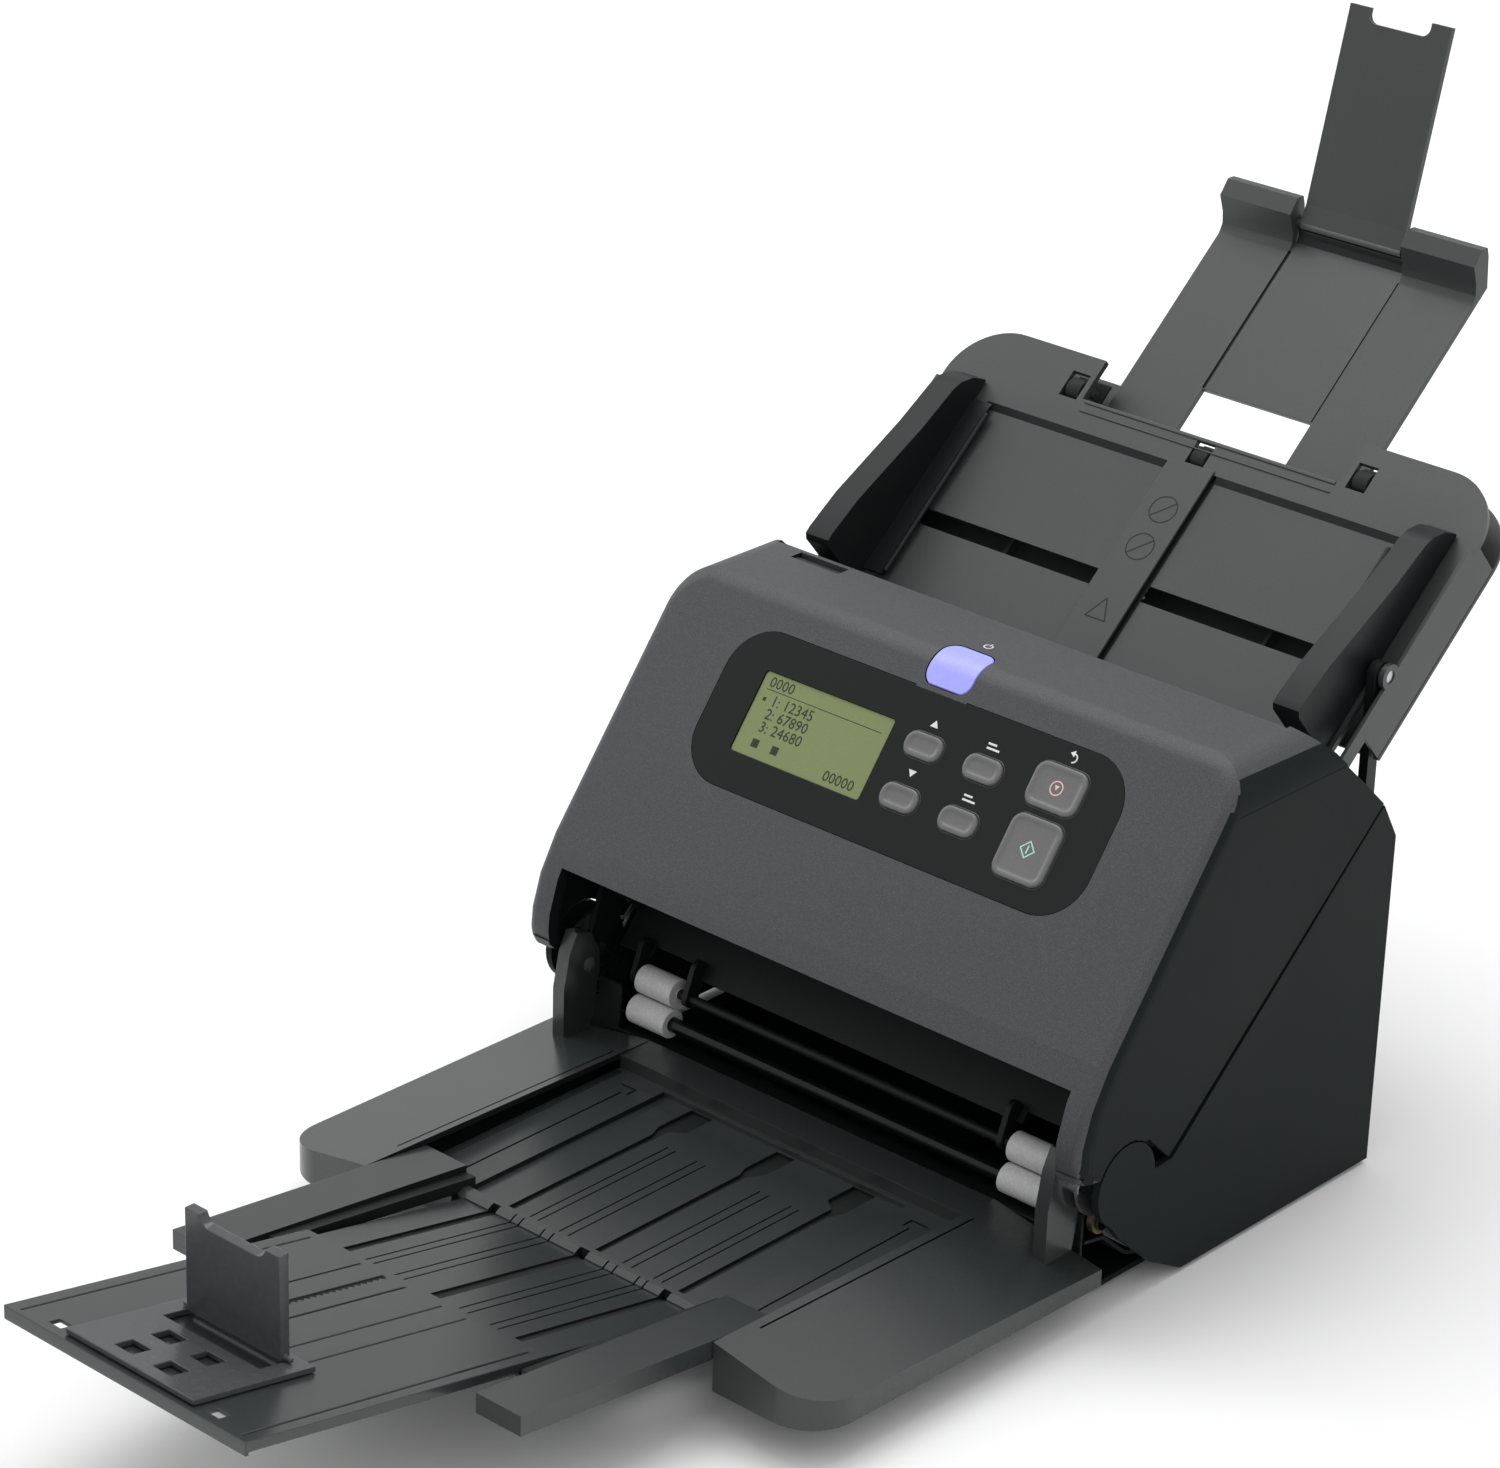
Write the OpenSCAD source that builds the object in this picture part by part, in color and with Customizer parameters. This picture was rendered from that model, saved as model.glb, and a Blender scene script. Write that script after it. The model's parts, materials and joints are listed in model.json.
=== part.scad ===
// Sheet fed document scanner: a lower housing, a front unit that swings open,
// a folding feed tray on top and a folding eject tray with two extensions.
// Front is -Y, up is +Z, the origin is on the floor below the middle.

/* [Body] */
// Half of the width over the side covers
body_half = 140; // [138:1:144]
// Height of the top face above the floor
top_z = 199; // [196:1:202]
// Lower front point of the ridge between front face and top face, along Y
ridge_y = 76.5; // [74:0.5:79]
// Slope of the front face from horizontal, in degrees
face_tilt = 52.4; // [51:0.2:54]
// Rear plane of the housing, along Y
rear_y = 173; // [171:1:176]
// Wall thickness of the mouldings
wall = 2.5; // [2:0.1:3]
// Height of the rubber feet
foot_h = 2; // [1.5:0.1:3]

/* [Front unit] */
// Height of the hinge of the front unit above the floor
unit_hinge_z = 52; // [51:0.5:53]
// Place of the hinge of the front unit along Y
unit_hinge_y = 18; // [17:0.5:19]
// Radius of the round shoulders about that hinge
shoulder_r = 16.5; // [15.5:0.1:17]
// Half width of the eject opening
mouth_half = 127.7; // [126:0.1:128]
// Gap left along the seam between front unit and housing
seam_gap = 0.6; // [0.4:0.1:1]

/* [Control panel] */
// Half width of the glossy panel
panel_half = 97.5; // [94:0.5:100]
// Distance from the ridge to the upper edge of the panel
panel_top = 14; // [12:0.5:16]
// Distance from the ridge to the lower edge of the panel
panel_low = 79; // [76:0.5:82]
// Width of the four small buttons
key_w = 17.5; // [14:0.5:18]
// Height of the four small buttons
key_h = 10; // [8:0.5:11]

/* [Feed tray] */
// Slope of the feed tray from horizontal, in degrees
tray_tilt = 40.8; // [40.5:0.1:41.5]
// Half width of the feed tray
tray_half = 132; // [130:0.5:132.5]
// Height of the hinge of the feed tray above the floor
tray_hinge_z = 204; // [203:0.5:205]
// Place of the hinge of the feed tray along Y
tray_hinge_y = 172; // [171:0.5:173]
// Height of that hinge above the sheet surface, square to it
hinge_above = 4; // [3.5:0.1:4.5]
// Length of the feed tray above its hinge, at the lobes
tray_up = 90; // [86:1:92]
// Length of the feed tray below its hinge
tray_down = 65.5; // [60:0.5:66]
// Inner face of the sheet guides from the middle, at rest
guide_in = 109; // [105:1:112]
// Length of the fold-up flap
flap_len = 90; // [80:1:91]

/* [Eject tray] */
// Height of the underside of the eject tray above the floor
eject_z = 14; // [13:0.5:16]
// Front edge of the eject tray, along Y
eject_front = -146; // [-148:1:-140]
// Half width of the recess for the extensions
recess_half = 87.8; // [86:0.1:89]
// Tip of the second extension, along Y
tip_y = -339.2; // [-340:0.1:-336]

/* [Rollers] */
// Slope of the inner sheet path from horizontal, in degrees
path_tilt = 48.6; // [48:0.1:49]
// Radius of the feed tyres
feed_r = 11; // [10:0.5:11]
// Radius of the drive tyres
drive_r = 8; // [7:0.5:8]
// Radius of the pinch rollers
pinch_r = 6; // [5:0.5:6]
// Radius of the eject rollers
eject_r = 6; // [5.5:0.1:6]
// Gear module
gear_m = 1; // [1:1:1]

/* [Hidden] */
$fn = 48;
eps = 0.01;

// colours
charcoal = [0.29, 0.30, 0.31];
dark = [0.18, 0.20, 0.20];
tray_grey = [0.32, 0.34, 0.34];
key_grey = [0.48, 0.48, 0.48];
steel = [0.70, 0.71, 0.72];
rubber = [0.10, 0.10, 0.10];

// outline of the front face and the legs, moved inwards by e, from the ridge down
function front_line(e) = [
    [ridge_y + 0.49 * e, top_z - e],
    [3.1 + 0.82 * e, 103.8 - 0.57 * e],
    [-5 + 0.92 * e, 89.5 - 0.40 * e],
    [-9.3 + 0.98 * e, 75.7 - 0.20 * e],
    [-10.2 + e, 65.1],
    [-7.4 + e, 59.7]
];
// seam between front unit and housing
seam_low = [42.8, 52.6];
seam_high = [163.7, 156.8];
// lower front outline of the housing
belly = [[2.6, 46], [16.1, 29.8], [35.6, 12.5], [54.6, 2 + foot_h]];
floor_z = foot_h;
side_in = body_half - 3;
chassis_in = 128.5;
chassis_out = 130;
arm_in = 124.5;
well_r = 73;

// frames: along the front face, along the feed tray, along the inner sheet path
module face_frame() translate([0, ridge_y, top_z]) rotate([face_tilt, 0, 0]) children();
tray_o = [tray_hinge_y + hinge_above * sin(tray_tilt), tray_hinge_z - hinge_above * cos(tray_tilt)];
module tray_frame() translate([0, tray_o[0], tray_o[1]]) rotate([tray_tilt, 0, 0]) children();
path_o = [19, 39.7];
module path_frame() translate([0, path_o[0], path_o[1]]) rotate([path_tilt, 0, 0]) children();
function on_path(s, n) = [path_o[0] + s * cos(path_tilt) - n * sin(path_tilt),
                          path_o[1] + s * sin(path_tilt) + n * cos(path_tilt)];

// solids drawn as an outline in Y and Z and given a width from x0 to x1
module slab(x0, x1) translate([x0, 0, 0]) rotate([90, 0, 90]) linear_extrude(x1 - x0) children();
// the same on both sides
module slab_pair(x0, x1) {
    slab(x0, x1) children();
    slab(-x1, -x0) children();
}
module disc(p, r) translate(p) circle(r);
// shaft along X through a point of the Y-Z plane
module rod(p, r, x0, x1) translate([x0, p[0], p[1]]) rotate([0, 90, 0]) cylinder(r = r, h = x1 - x0);
module box(x0, x1, y0, y1, z0, z1) translate([x0, y0, z0]) cube([x1 - x0, y1 - y0, z1 - z0]);
// rounded rectangle about the origin
module round_rect(w, h, r) {
    square([w - 2 * r, h], center = true);
    square([w, h - 2 * r], center = true);
    for (sx = [-1, 1], sy = [-1, 1]) translate([sx * (w / 2 - r), sy * (h / 2 - r)]) circle(r);
}

// ---------- shafts and gears ----------
roll_gap = 0.15;
feed_s = 112;
drive_s = 78;
feed_c = on_path(feed_s, -feed_r - roll_gap);
drive_c = on_path(drive_s, -drive_r - roll_gap);
eject_c = [17, 33.8];
sep_c = on_path(feed_s, 10 + roll_gap);
pinch_c = on_path(drive_s, pinch_r + roll_gap);
eject_pinch_c = [21, 45.6];
shaft_r = 4;
gear_x = [-133.2, -130.6];
belt_x = [-136.4, -133.6];
feed_n = 20;
drive_n = 24;
idler_n = 16;
reduction_n = 36;
pinion_n = 12;
function reach(a, b) = gear_m * (a + b) / 2;
function way(p, q) = atan2(q[1] - p[1], q[0] - p[0]);
function gap_of(p, q) = norm(q - p);
// the idler sits below the line of its two neighbours
idler_bend = acos((pow(reach(drive_n, idler_n), 2) + pow(gap_of(drive_c, feed_c), 2)
    - pow(reach(idler_n, feed_n), 2)) / (2 * reach(drive_n, idler_n) * gap_of(drive_c, feed_c)));
function step(p, a, d) = [p[0] + d * cos(a), p[1] + d * sin(a)];
idler_c = step(drive_c, way(drive_c, feed_c) - idler_bend, reach(drive_n, idler_n));
reduction_c = step(drive_c, -62, reach(drive_n, reduction_n));
pinion_c = step(reduction_c, -20, reach(reduction_n, pinion_n));
// tooth phase of a second gear from the phase of the first
function mesh(ph, n1, n2, a) = a + 180 - 360 / n2 * (0.5 - (a - ph) * n1 / 360);
drive_ph = 0;
idler_ph = mesh(drive_ph, drive_n, idler_n, way(drive_c, idler_c));
feed_ph = mesh(idler_ph, idler_n, feed_n, way(idler_c, feed_c));
reduction_ph = mesh(drive_ph, drive_n, reduction_n, way(drive_c, reduction_c));
pinion_ph = mesh(reduction_ph, reduction_n, pinion_n, way(reduction_c, pinion_c));
// gear outline: each tooth narrows from root to tip and leaves some backlash
function tooth(n, k, ph) = [for (c = [[-1, -1.25, 0.30], [-1, 0, 0.215], [-1, 0.85, 0.11],
                                      [1, 0.85, 0.11], [1, 0, 0.215], [1, -1.25, 0.30]])
    let (a = ph + 360 / n * (k + c[0] * c[2]), r = gear_m * (n / 2 + c[1])) [r * cos(a), r * sin(a)]];
module gear_outline(n, ph) polygon([for (k = [0 : n - 1]) each tooth(n, k, ph)]);
module gear(c, n, ph, x) slab(x[0], x[1]) translate(c) gear_outline(n, ph);

// ---------- lower housing ----------
// outline of the housing below the seam, in Y and Z
module housing_outline(e) {
    polygon([[rear_y - e, floor_z + e], [rear_y - e, 141 - e], seam_high + [-e, -e - 0.3],
             seam_low + [2 + e, -e], [30, 52], belly[0] + [e, 0], belly[1] + [e, e],
             belly[2] + [e, e], [belly[3][0], floor_z + e]]);
    disc([unit_hinge_y, unit_hinge_z], shoulder_r - e);
}
module base_plate() color(dark) {
    slab(1 - chassis_in, chassis_in - 1) polygon([
        [8, 19], [8, 12], [12, 6], [20, floor_z], [rear_y - 4, floor_z], [rear_y - 4, floor_z + wall],
        [21, floor_z + wall], [14.5, 8], [10.5, 13], [10.5, 19]]);
    for (x = [-90, -30, 30, 90]) box(x - 1, x + 1, 30, 150, floor_z + wall - eps, floor_z + 9);
}
module side_covers() color(dark) for (m = [0, 1]) mirror([m, 0, 0]) difference() {
    slab(side_in, body_half) housing_outline(0);
    for (c = screw_at) rod(c, 1.7, side_in - 1, side_in + 1.6);
}
screw_at = [[60, 14], [160, 14], [150, 104]];
// rear cover: rear wall and the hollow below the hinge of the feed tray
module rear_cover() color(dark) difference() {
    union() {
        box(1 - side_in, side_in - 1, rear_y - wall, rear_y, floor_z, tray_hinge_z - well_r - 1);
        slab(1 - side_in, side_in - 1) difference() {
            intersection() {
                disc([tray_hinge_y, tray_hinge_z], well_r + wall);
                translate([121, 90]) square([rear_y - 121, 62]);
            }
            disc([tray_hinge_y, tray_hinge_z], well_r);
        }
    }
    for (s = [-1, 1]) translate([s * (arm_in + 2), 150, 140]) cube([4.8, 60, 60], center = true);
    for (s = [-1, 1]) translate([s * (chassis_in + 0.75), 140, 130]) cube([2.1, 62, 60], center = true);
    box(socket_x[0] - 8.3, socket_x[0] + 8.3, rear_y - 4, rear_y + 1, 21.7, 34.3);
    box(socket_x[1] - 6.3, socket_x[1] + 6.3, rear_y - 4, rear_y + 1, 21.7, 34.3);
    for (i = [0 : 9]) box(-100 + 9 * i, -96 + 9 * i, rear_y - 4, rear_y + 1, 20, 40);
}
socket_x = [70, 100];
module rubber_feet() color(rubber) for (x = [-110, 110], y = [40, 155])
    translate([x, y, 0]) cylinder(r = 8, h = foot_h - 0.02);
module case_screws() color(steel) for (s = [-1, 1], c = screw_at)
    rod(c, 1.6, s > 0 ? side_in - 5 : -side_in - 1.5, s > 0 ? side_in + 1.5 : 5 - side_in);
// steel plates that carry every shaft
module chassis_outline() difference() {
    union() {
        polygon([on_path(148, -1.2), on_path(22, -1.2), [30, 52], [12, 40], [20, 26], [36, 14],
                 [56, 8], [165, 8], [165, 128], [120, 148]]);
        disc([unit_hinge_y, unit_hinge_z], shoulder_r - 0.3);
    }
    disc([tray_hinge_y, tray_hinge_z], well_r + 0.3);
}
module chassis_plates() color(steel) for (m = [0, 1]) mirror([m, 0, 0]) difference() {
    slab(chassis_in, chassis_out) chassis_outline();
    for (c = [feed_c, drive_c, eject_c]) rod(c, bush_r, chassis_in - 1, chassis_out + 1);
    rod([unit_hinge_y, unit_hinge_z], 3, chassis_in - 1, chassis_out + 1);
    rod([tray_pin_y, tray_pin_z], 3, chassis_in - 1, chassis_out + 1);
    for (c = [idler_c, reduction_c]) rod(c, stud_r, chassis_in - 1, chassis_out + 1);
    rod(pinion_c, 4.5, chassis_in - 1, chassis_out + 1);
    rod([120, 30], 12, chassis_in - 1, chassis_out + 1);
}
bush_r = shaft_r + 1.5;
stud_r = 2;
tray_pin_y = 5;
tray_pin_z = 52;
// arms that rise through the hollow and hold the feed tray
module tray_arms() color(dark) for (s = [-1, 1]) difference() {
    slab(s > 0 ? arm_in : -chassis_in, s > 0 ? chassis_in : -arm_in) {
        disc([tray_hinge_y, tray_hinge_z], 5);
        translate([tray_hinge_y - 5, 112]) square([6, tray_hinge_z - 112]);
        translate([tray_hinge_y - 27, 100]) square([22, 28]);
    }
    rod([tray_hinge_y, tray_hinge_z], 2.5, s > 0 ? arm_in - 1 : -chassis_in - 1, s > 0 ? chassis_in + 1 : 1 - arm_in);
}
module hinge_pins() color(steel) { gear_studs(); side_pins(); }
module side_pins() for (s = [-1, 1]) {
    rod([unit_hinge_y, unit_hinge_z], 3, s > 0 ? 125.8 : -130.3, s > 0 ? 130.3 : -125.8);
    rod([tray_pin_y, tray_pin_z], 3, s > 0 ? 119.4 : -130.3, s > 0 ? 130.3 : -119.4);
    rod([tray_hinge_y, tray_hinge_z], 2.5, s > 0 ? arm_in : -131.4, s > 0 ? 131.4 : -arm_in);
}
module gear_studs() { for (c = [idler_c, reduction_c]) rod(c, stud_r, gear_x[0] - 0.2, -chassis_in - 0.1); }
module bushings() color("goldenrod") for (s = [-1, 1], c = [feed_c, drive_c, eject_c]) difference() {
    rod(c, bush_r, s > 0 ? 127.5 : -130.3, s > 0 ? 130.3 : -127.5);
    rod(c, shaft_r + 0.05, s > 0 ? 127 : -131, s > 0 ? 131 : -127);
}
feed_tyre_x = [[-34, -8], [8, 34]];
drive_tyre_x = [[-92, -68], [-34, -12], [12, 34], [68, 92]];
eject_roll_x = [[-105, -85], [85, 105]];
// lower sheet guide with windows for tyres and sensor
module lower_chute() color(dark) difference() {
    path_frame() difference() {
        translate([-123, 24.5, -3.2]) cube([246, 124.5, 2.4]);
        for (x = feed_tyre_x) translate([x[0] - 2, feed_s - 8, -4]) cube([x[1] - x[0] + 4, 16, 4]);
        for (x = drive_tyre_x) translate([x[0] - 2, drive_s - 7, -4]) cube([x[1] - x[0] + 4, 14, 4]);
        translate([-112, 43.5, -4]) cube([224, 15, 4]);
    }
}
module lower_sensor() color(dark) path_frame() difference() {
    translate([-111, 42, -20]) cube([222, 18, 16.7]);
    translate([-109, 44, -18]) cube([218, 14, 20]);
}
module lower_glass() color([0.75, 0.85, 0.85]) path_frame() translate([-111.7, 43.8, -3.2]) cube([223.4, 14.4, 2.3]);
module main_board() color("darkgreen") {
    box(-100, 110, 158, 159.6, 12, 92);
    for (x = [-80, -20, 60]) box(x, x + 14, 155, 158 + eps, 40, 54);
    box(-60, 20, 150, 158 + eps, 62, 70);
}
module power_socket() color("black") translate([socket_x[0], 0, 28]) difference() {
    box(-8, 8, 159.6, rear_y - 0.3, -6, 6);
    translate([0, rear_y + 1, 0]) rotate([90, 0, 0]) cylinder(r = 3.4, h = 10);
}
module usb_socket() color(steel) translate([socket_x[1], 0, 28]) difference() {
    box(-6, 6, 159.6, rear_y - 0.3, -6, 6);
    box(-4.6, 4.6, 163, rear_y + 1, -4.6, 4.6);
}
module feed_motor() color(steel) {
    rod(pinion_c, 20, -chassis_in + 0.1, -92);
    rod(pinion_c, 4.4, -chassis_out, -chassis_in + 0.2);
}
module motor_pinion() color("goldenrod") gear(pinion_c, pinion_n, pinion_ph, gear_x);
module wheel_gear(c, n, ph) color([0.9, 0.9, 0.86]) difference() {
    gear(c, n, ph, gear_x);
    rod(c, stud_r + 0.05, gear_x[0] - 1, gear_x[1] + 1);
}
module reduction_gear() { wheel_gear(reduction_c, reduction_n, reduction_ph); }
module idler_gear() { wheel_gear(idler_c, idler_n, idler_ph); }
belt_r = 8;
// toothed belt drawn as one smooth loop
module timing_belt() color(rubber) slab(belt_x[0], belt_x[1]) difference() {
    hull() for (c = [drive_c, eject_c]) disc(c, belt_r + 1.4);
    hull() for (c = [drive_c, eject_c]) disc(c, belt_r + 0.3);
}
module tyres(c, r, spans) for (x = spans) difference() {
    rod(c, r, x[0], x[1]);
    rod(c, shaft_r, x[0] - 1, x[1] + 1);
}
module feed_shaft() color(steel) {
    rod(feed_c, shaft_r, -130.7, 131.5);
    gear(feed_c, feed_n, feed_ph, gear_x);
}
module feed_tyres() color(rubber) tyres(feed_c, feed_r, feed_tyre_x);
module drive_shaft() color(steel) {
    rod(drive_c, shaft_r, -136.4, 131.5);
    gear(drive_c, drive_n, drive_ph, gear_x);
    rod(drive_c, belt_r, belt_x[0], belt_x[1]);
}
module drive_tyres() color(rubber) tyres(drive_c, drive_r, drive_tyre_x);
module eject_shaft() color(steel) {
    rod(eject_c, shaft_r - 1, -127, 127);
    rod(eject_c, shaft_r, 126.5, 131.5);
    rod(eject_c, shaft_r, belt_x[0], -126.5);
    rod(eject_c, belt_r, belt_x[0], belt_x[1]);
}
module eject_rollers() color("white") for (x = eject_roll_x) difference() {
    rod(eject_c, eject_r, x[0], x[1]);
    rod(eject_c, shaft_r - 1, x[0] - 1, x[1] + 1);
}

// ---------- front unit ----------
cover_rear = 116;
cheek_z = 181.5;
side_y = ridge_y + 3.2 - (top_z - 3.66 - cheek_z) / tan(face_tilt) + 1.6;
module cover_ends() polygon(concat(
    [[137, cheek_z + 0.2], [131, 188], [118, top_z]], front_line(0),
    [for (i = [5 : -1 : 1]) front_line(6)[i]], [[side_y, cheek_z + 0.2]]));
module cover_shell() polygon(concat(
    [[cover_rear, top_z - wall], [cover_rear, top_z]], front_line(0),
    [for (i = [5 : -1 : 0]) front_line(wall)[i]]));
module front_cover() color(charcoal) difference() {
    intersection() {
        union() {
            slab(-133, 133) cover_shell();
            slab_pair(mouth_half - 2, body_half) cover_ends();
        }
        // rounded upper corners seen from the front
        translate([0, 200, 0]) rotate([90, 0, 0]) linear_extrude(260) union() {
            square([2 * body_half, 2 * (top_z - 18)], center = true);
            square([2 * body_half - 36, 2 * top_z], center = true);
            for (s = [-1, 1]) translate([s * (body_half - 18), top_z - 18]) circle(18);
        }
    }
    slab_pair(mouth_half - 0.1, body_half + 1) disc([unit_hinge_y, unit_hinge_z], shoulder_r + seam_gap);
    box(-mouth_half, mouth_half, -20, 40, 50, 93.8);
    face_frame() translate([0, -(panel_top + panel_low) / 2, -5])
        linear_extrude(10) round_rect(2 * panel_half, panel_low - panel_top, 20);
    power_slot(0.8);
    box(-111, -86, 107.5, 113.9, top_z - 4, top_z + 1);
}
power_x = 1.5;
function on_face(d, n) = [ridge_y - d * cos(face_tilt) - n * sin(face_tilt),
                          top_z - d * sin(face_tilt) + n * cos(face_tilt)];
power_w = 22;
power_down = 12;
power_back = 88;
module power_slot(g) slab(power_x - power_w / 2 - g, power_x + power_w / 2 + g) polygon([
    on_face(power_down + g, 3), on_face(power_down + g, -4), [ridge_y + 2, top_z - 4],
    [power_back + g, top_z - 4], [power_back + g, top_z + 3], [ridge_y - 4, top_z + 3]]);
// dark side panels above the seam
module side_outline() difference() {
    polygon(concat([seam_high + [0, 0.5], [151, 169], [137, cheek_z], [side_y, cheek_z]],
        [for (i = [1 : 5]) front_line(6.3)[i]], [[3, 59.5], [30, 66], seam_low + [0, seam_gap + 0.5]]));
    disc([unit_hinge_y, unit_hinge_z], shoulder_r + seam_gap);
}
module side_panels() color(dark) slab_pair(side_in, body_half - 0.2) side_outline();
// inner frame: side plates about the hinge, joined to the cheeks and by a cross bar
module unit_frame() color(dark) {
    for (m = [0, 1]) mirror([m, 0, 0]) {
        slab(126, 128) difference() {
            hull() {
                disc([unit_hinge_y, unit_hinge_z], 6.8);
                disc([32, 92], 9);
            }
            disc([unit_hinge_y, unit_hinge_z], 3.05);
        }
        slab(126, 128) polygon([[22, 86], [40, 84], on_path(100, 26), [106, 180], [78, 180], [30, 116]]);
        slab(126, side_in) polygon([[60, 150], [74, 150], [74, 154], [60, 154]]);
        slab(126, side_in) polygon([[92, 174], [104, 174], [104, 178], [92, 178]]);
    }
    slab(-126.1, 126.1) polygon([[84, 175], [104, 175], [104, 178], [84, 178]]);
    // rear wall of the unit, down to the feed slot
    box(2.2 - mouth_half, mouth_half - 2.2, cover_rear - wall, cover_rear, 168, top_z - wall);
}
module upper_chute() color(dark) difference() {
    union() {
        path_frame() translate([-123, 14, 0.8]) cube([246, 118, 2.2]);
        path_frame() for (s = [-1, 1]) translate([s * 121.8 - 1.2, 30, 2.9]) cube([2.4, 100, 30]);
        // round entry lip at the feed slot
        slab(-123, 123) disc(on_path(131.5, 4), 3.2);
        // carriers of the eject pinch rollers
        for (s = [-1, 1], x = [80, 108]) slab(s * x - 1.2, s * x + 1.2) hull() {
            disc(eject_pinch_c, 3.6);
            disc(on_path(17, 6), 4);
        }
    }
    path_frame() {
        for (x = feed_tyre_x) translate([x[0] - 2, feed_s - 8, 0]) cube([x[1] - x[0] + 4, 16, 4]);
        for (x = drive_tyre_x) translate([x[0] - 2, drive_s - 6, 0]) cube([x[1] - x[0] + 4, 12, 4]);
        for (x = eject_roll_x) translate([x[0] - 1, 10, 0]) cube([x[1] - x[0] + 2, 9, 4]);
        translate([-112, 49.5, 0]) cube([224, 15, 4]);
    }
    rod(eject_pinch_c, 2.05, -112, 112);
}
module upper_sensor() color(dark) path_frame() {
    difference() {
        translate([-111, 49, 3.1]) cube([222, 16, 16.9]);
        translate([-109, 51, 2]) cube([218, 12, 16]);
    }
    translate([-111.7, 49.8, 0.9]) cube([223.4, 14.4, 2.3]);
}
sep_span = [[-34, -8], [8, 34]];
module separation_roller() color(rubber) {
    rod(sep_c, 3, -40, 40);
    for (x = sep_span) rod(sep_c, 10, x[0], x[1]);
}
module pinch_rollers() color([0.8, 0.8, 0.8]) {
    rod(pinch_c, 2.5, -100, 100);
    for (x = drive_tyre_x) rod(pinch_c, pinch_r, x[0] + 2, x[1] - 2);
}
module eject_pinch_rollers() color("white") {
    rod(eject_pinch_c, 2, -110, 110);
    for (x = eject_roll_x) rod(eject_pinch_c, eject_r, x[0] + 0.5, x[1] - 0.5);
}
module panel_hole(c, w, h, r, g) translate([c[0], -c[1], -4]) linear_extrude(8)
    round_rect(w + 2 * g, h + 2 * g, r + g);
key_up = [5, 35.5];
key_down = [5, 57];
key_menu = [33.8, 35.5];
key_ok = [33.8, 57];
key_stop = [67.5, 32];
key_start = [67.5, 57];
small_keys = [key_up, key_down, key_menu, key_ok];
lcd_mid = [-45.2, 46.7];
lcd_w = 65.5;
lcd_h = 34;
module panel_bezel() color("black") face_frame() difference() {
    translate([0, -(panel_top + panel_low) / 2, -wall]) linear_extrude(wall)
        round_rect(2 * panel_half - 0.5, panel_low - panel_top - 0.5, 19.7);
    for (c = small_keys) panel_hole(c, key_w, key_h, 4.5, 0.3);
    panel_hole(key_stop, 24, 17.9, 5, 0.3);
    panel_hole(key_start, 23.7, 25.4, 5, 0.3);
    panel_hole(lcd_mid, lcd_w, lcd_h, 1.5, 0.1);
}
module panel_board() color("darkgreen") face_frame() translate([-94, -78, -12]) difference() {
    cube([188, 62, 1.6]);
    for (x = [5, 183], y = [5, 57]) translate([x, y, -1]) cylinder(r = 1.5, h = 4);
}
module lcd_screen() color([0.55, 0.60, 0.36]) face_frame() translate([lcd_mid[0], -lcd_mid[1], 0]) {
    translate([0, 0, -3]) linear_extrude(2.4) round_rect(lcd_w, lcd_h, 1.5);
    translate([0, 0, -10.3]) linear_extrude(7.31) round_rect(lcd_w + 8, lcd_h + 8, 1.5);
}
// button: a cap that stands proud and a collar that keeps it in the panel
module key(c, w, h, r) color(key_grey) face_frame() translate([c[0], -c[1], 0]) {
    translate([0, 0, -4]) linear_extrude(5) round_rect(w, h, r);
    translate([0, 0, 1 - eps]) linear_extrude(0.5) round_rect(w - 2, h - 2, r - 1);
    translate([0, 0, -5.5]) linear_extrude(2.2) round_rect(w + 2, h + 2, r);
    translate([0, 0, -9.2]) cylinder(r = 2, h = 4);
}
module button_up() { key(key_up, key_w, key_h, 4.5); }
module button_down() { key(key_down, key_w, key_h, 4.5); }
module button_menu() { key(key_menu, key_w, key_h, 4.5); }
module button_ok() { key(key_ok, key_w, key_h, 4.5); }
module button_stop() { key(key_stop, 24, 17.9, 5); }
module button_start() { key(key_start, 23.7, 25.4, 5); }
module power_button() color([0.45, 0.45, 0.85]) slab(power_x - power_w / 2, power_x + power_w / 2) polygon([
    on_face(power_down, 0), on_face(power_down, -3), [ridge_y + 1.5, top_z - 3],
    [power_back, top_z - 3], [power_back, top_z], [ridge_y + 1, top_z], on_face(1.2, 0)]);
module open_lever() color(dark) {
    box(-110.5, -86.5, 107.8, 111.2, top_z - wall + 0.1, top_z - 1);
    box(-104, -94, 108, 111, top_z - 14, top_z - wall + 0.2);
}

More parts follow.
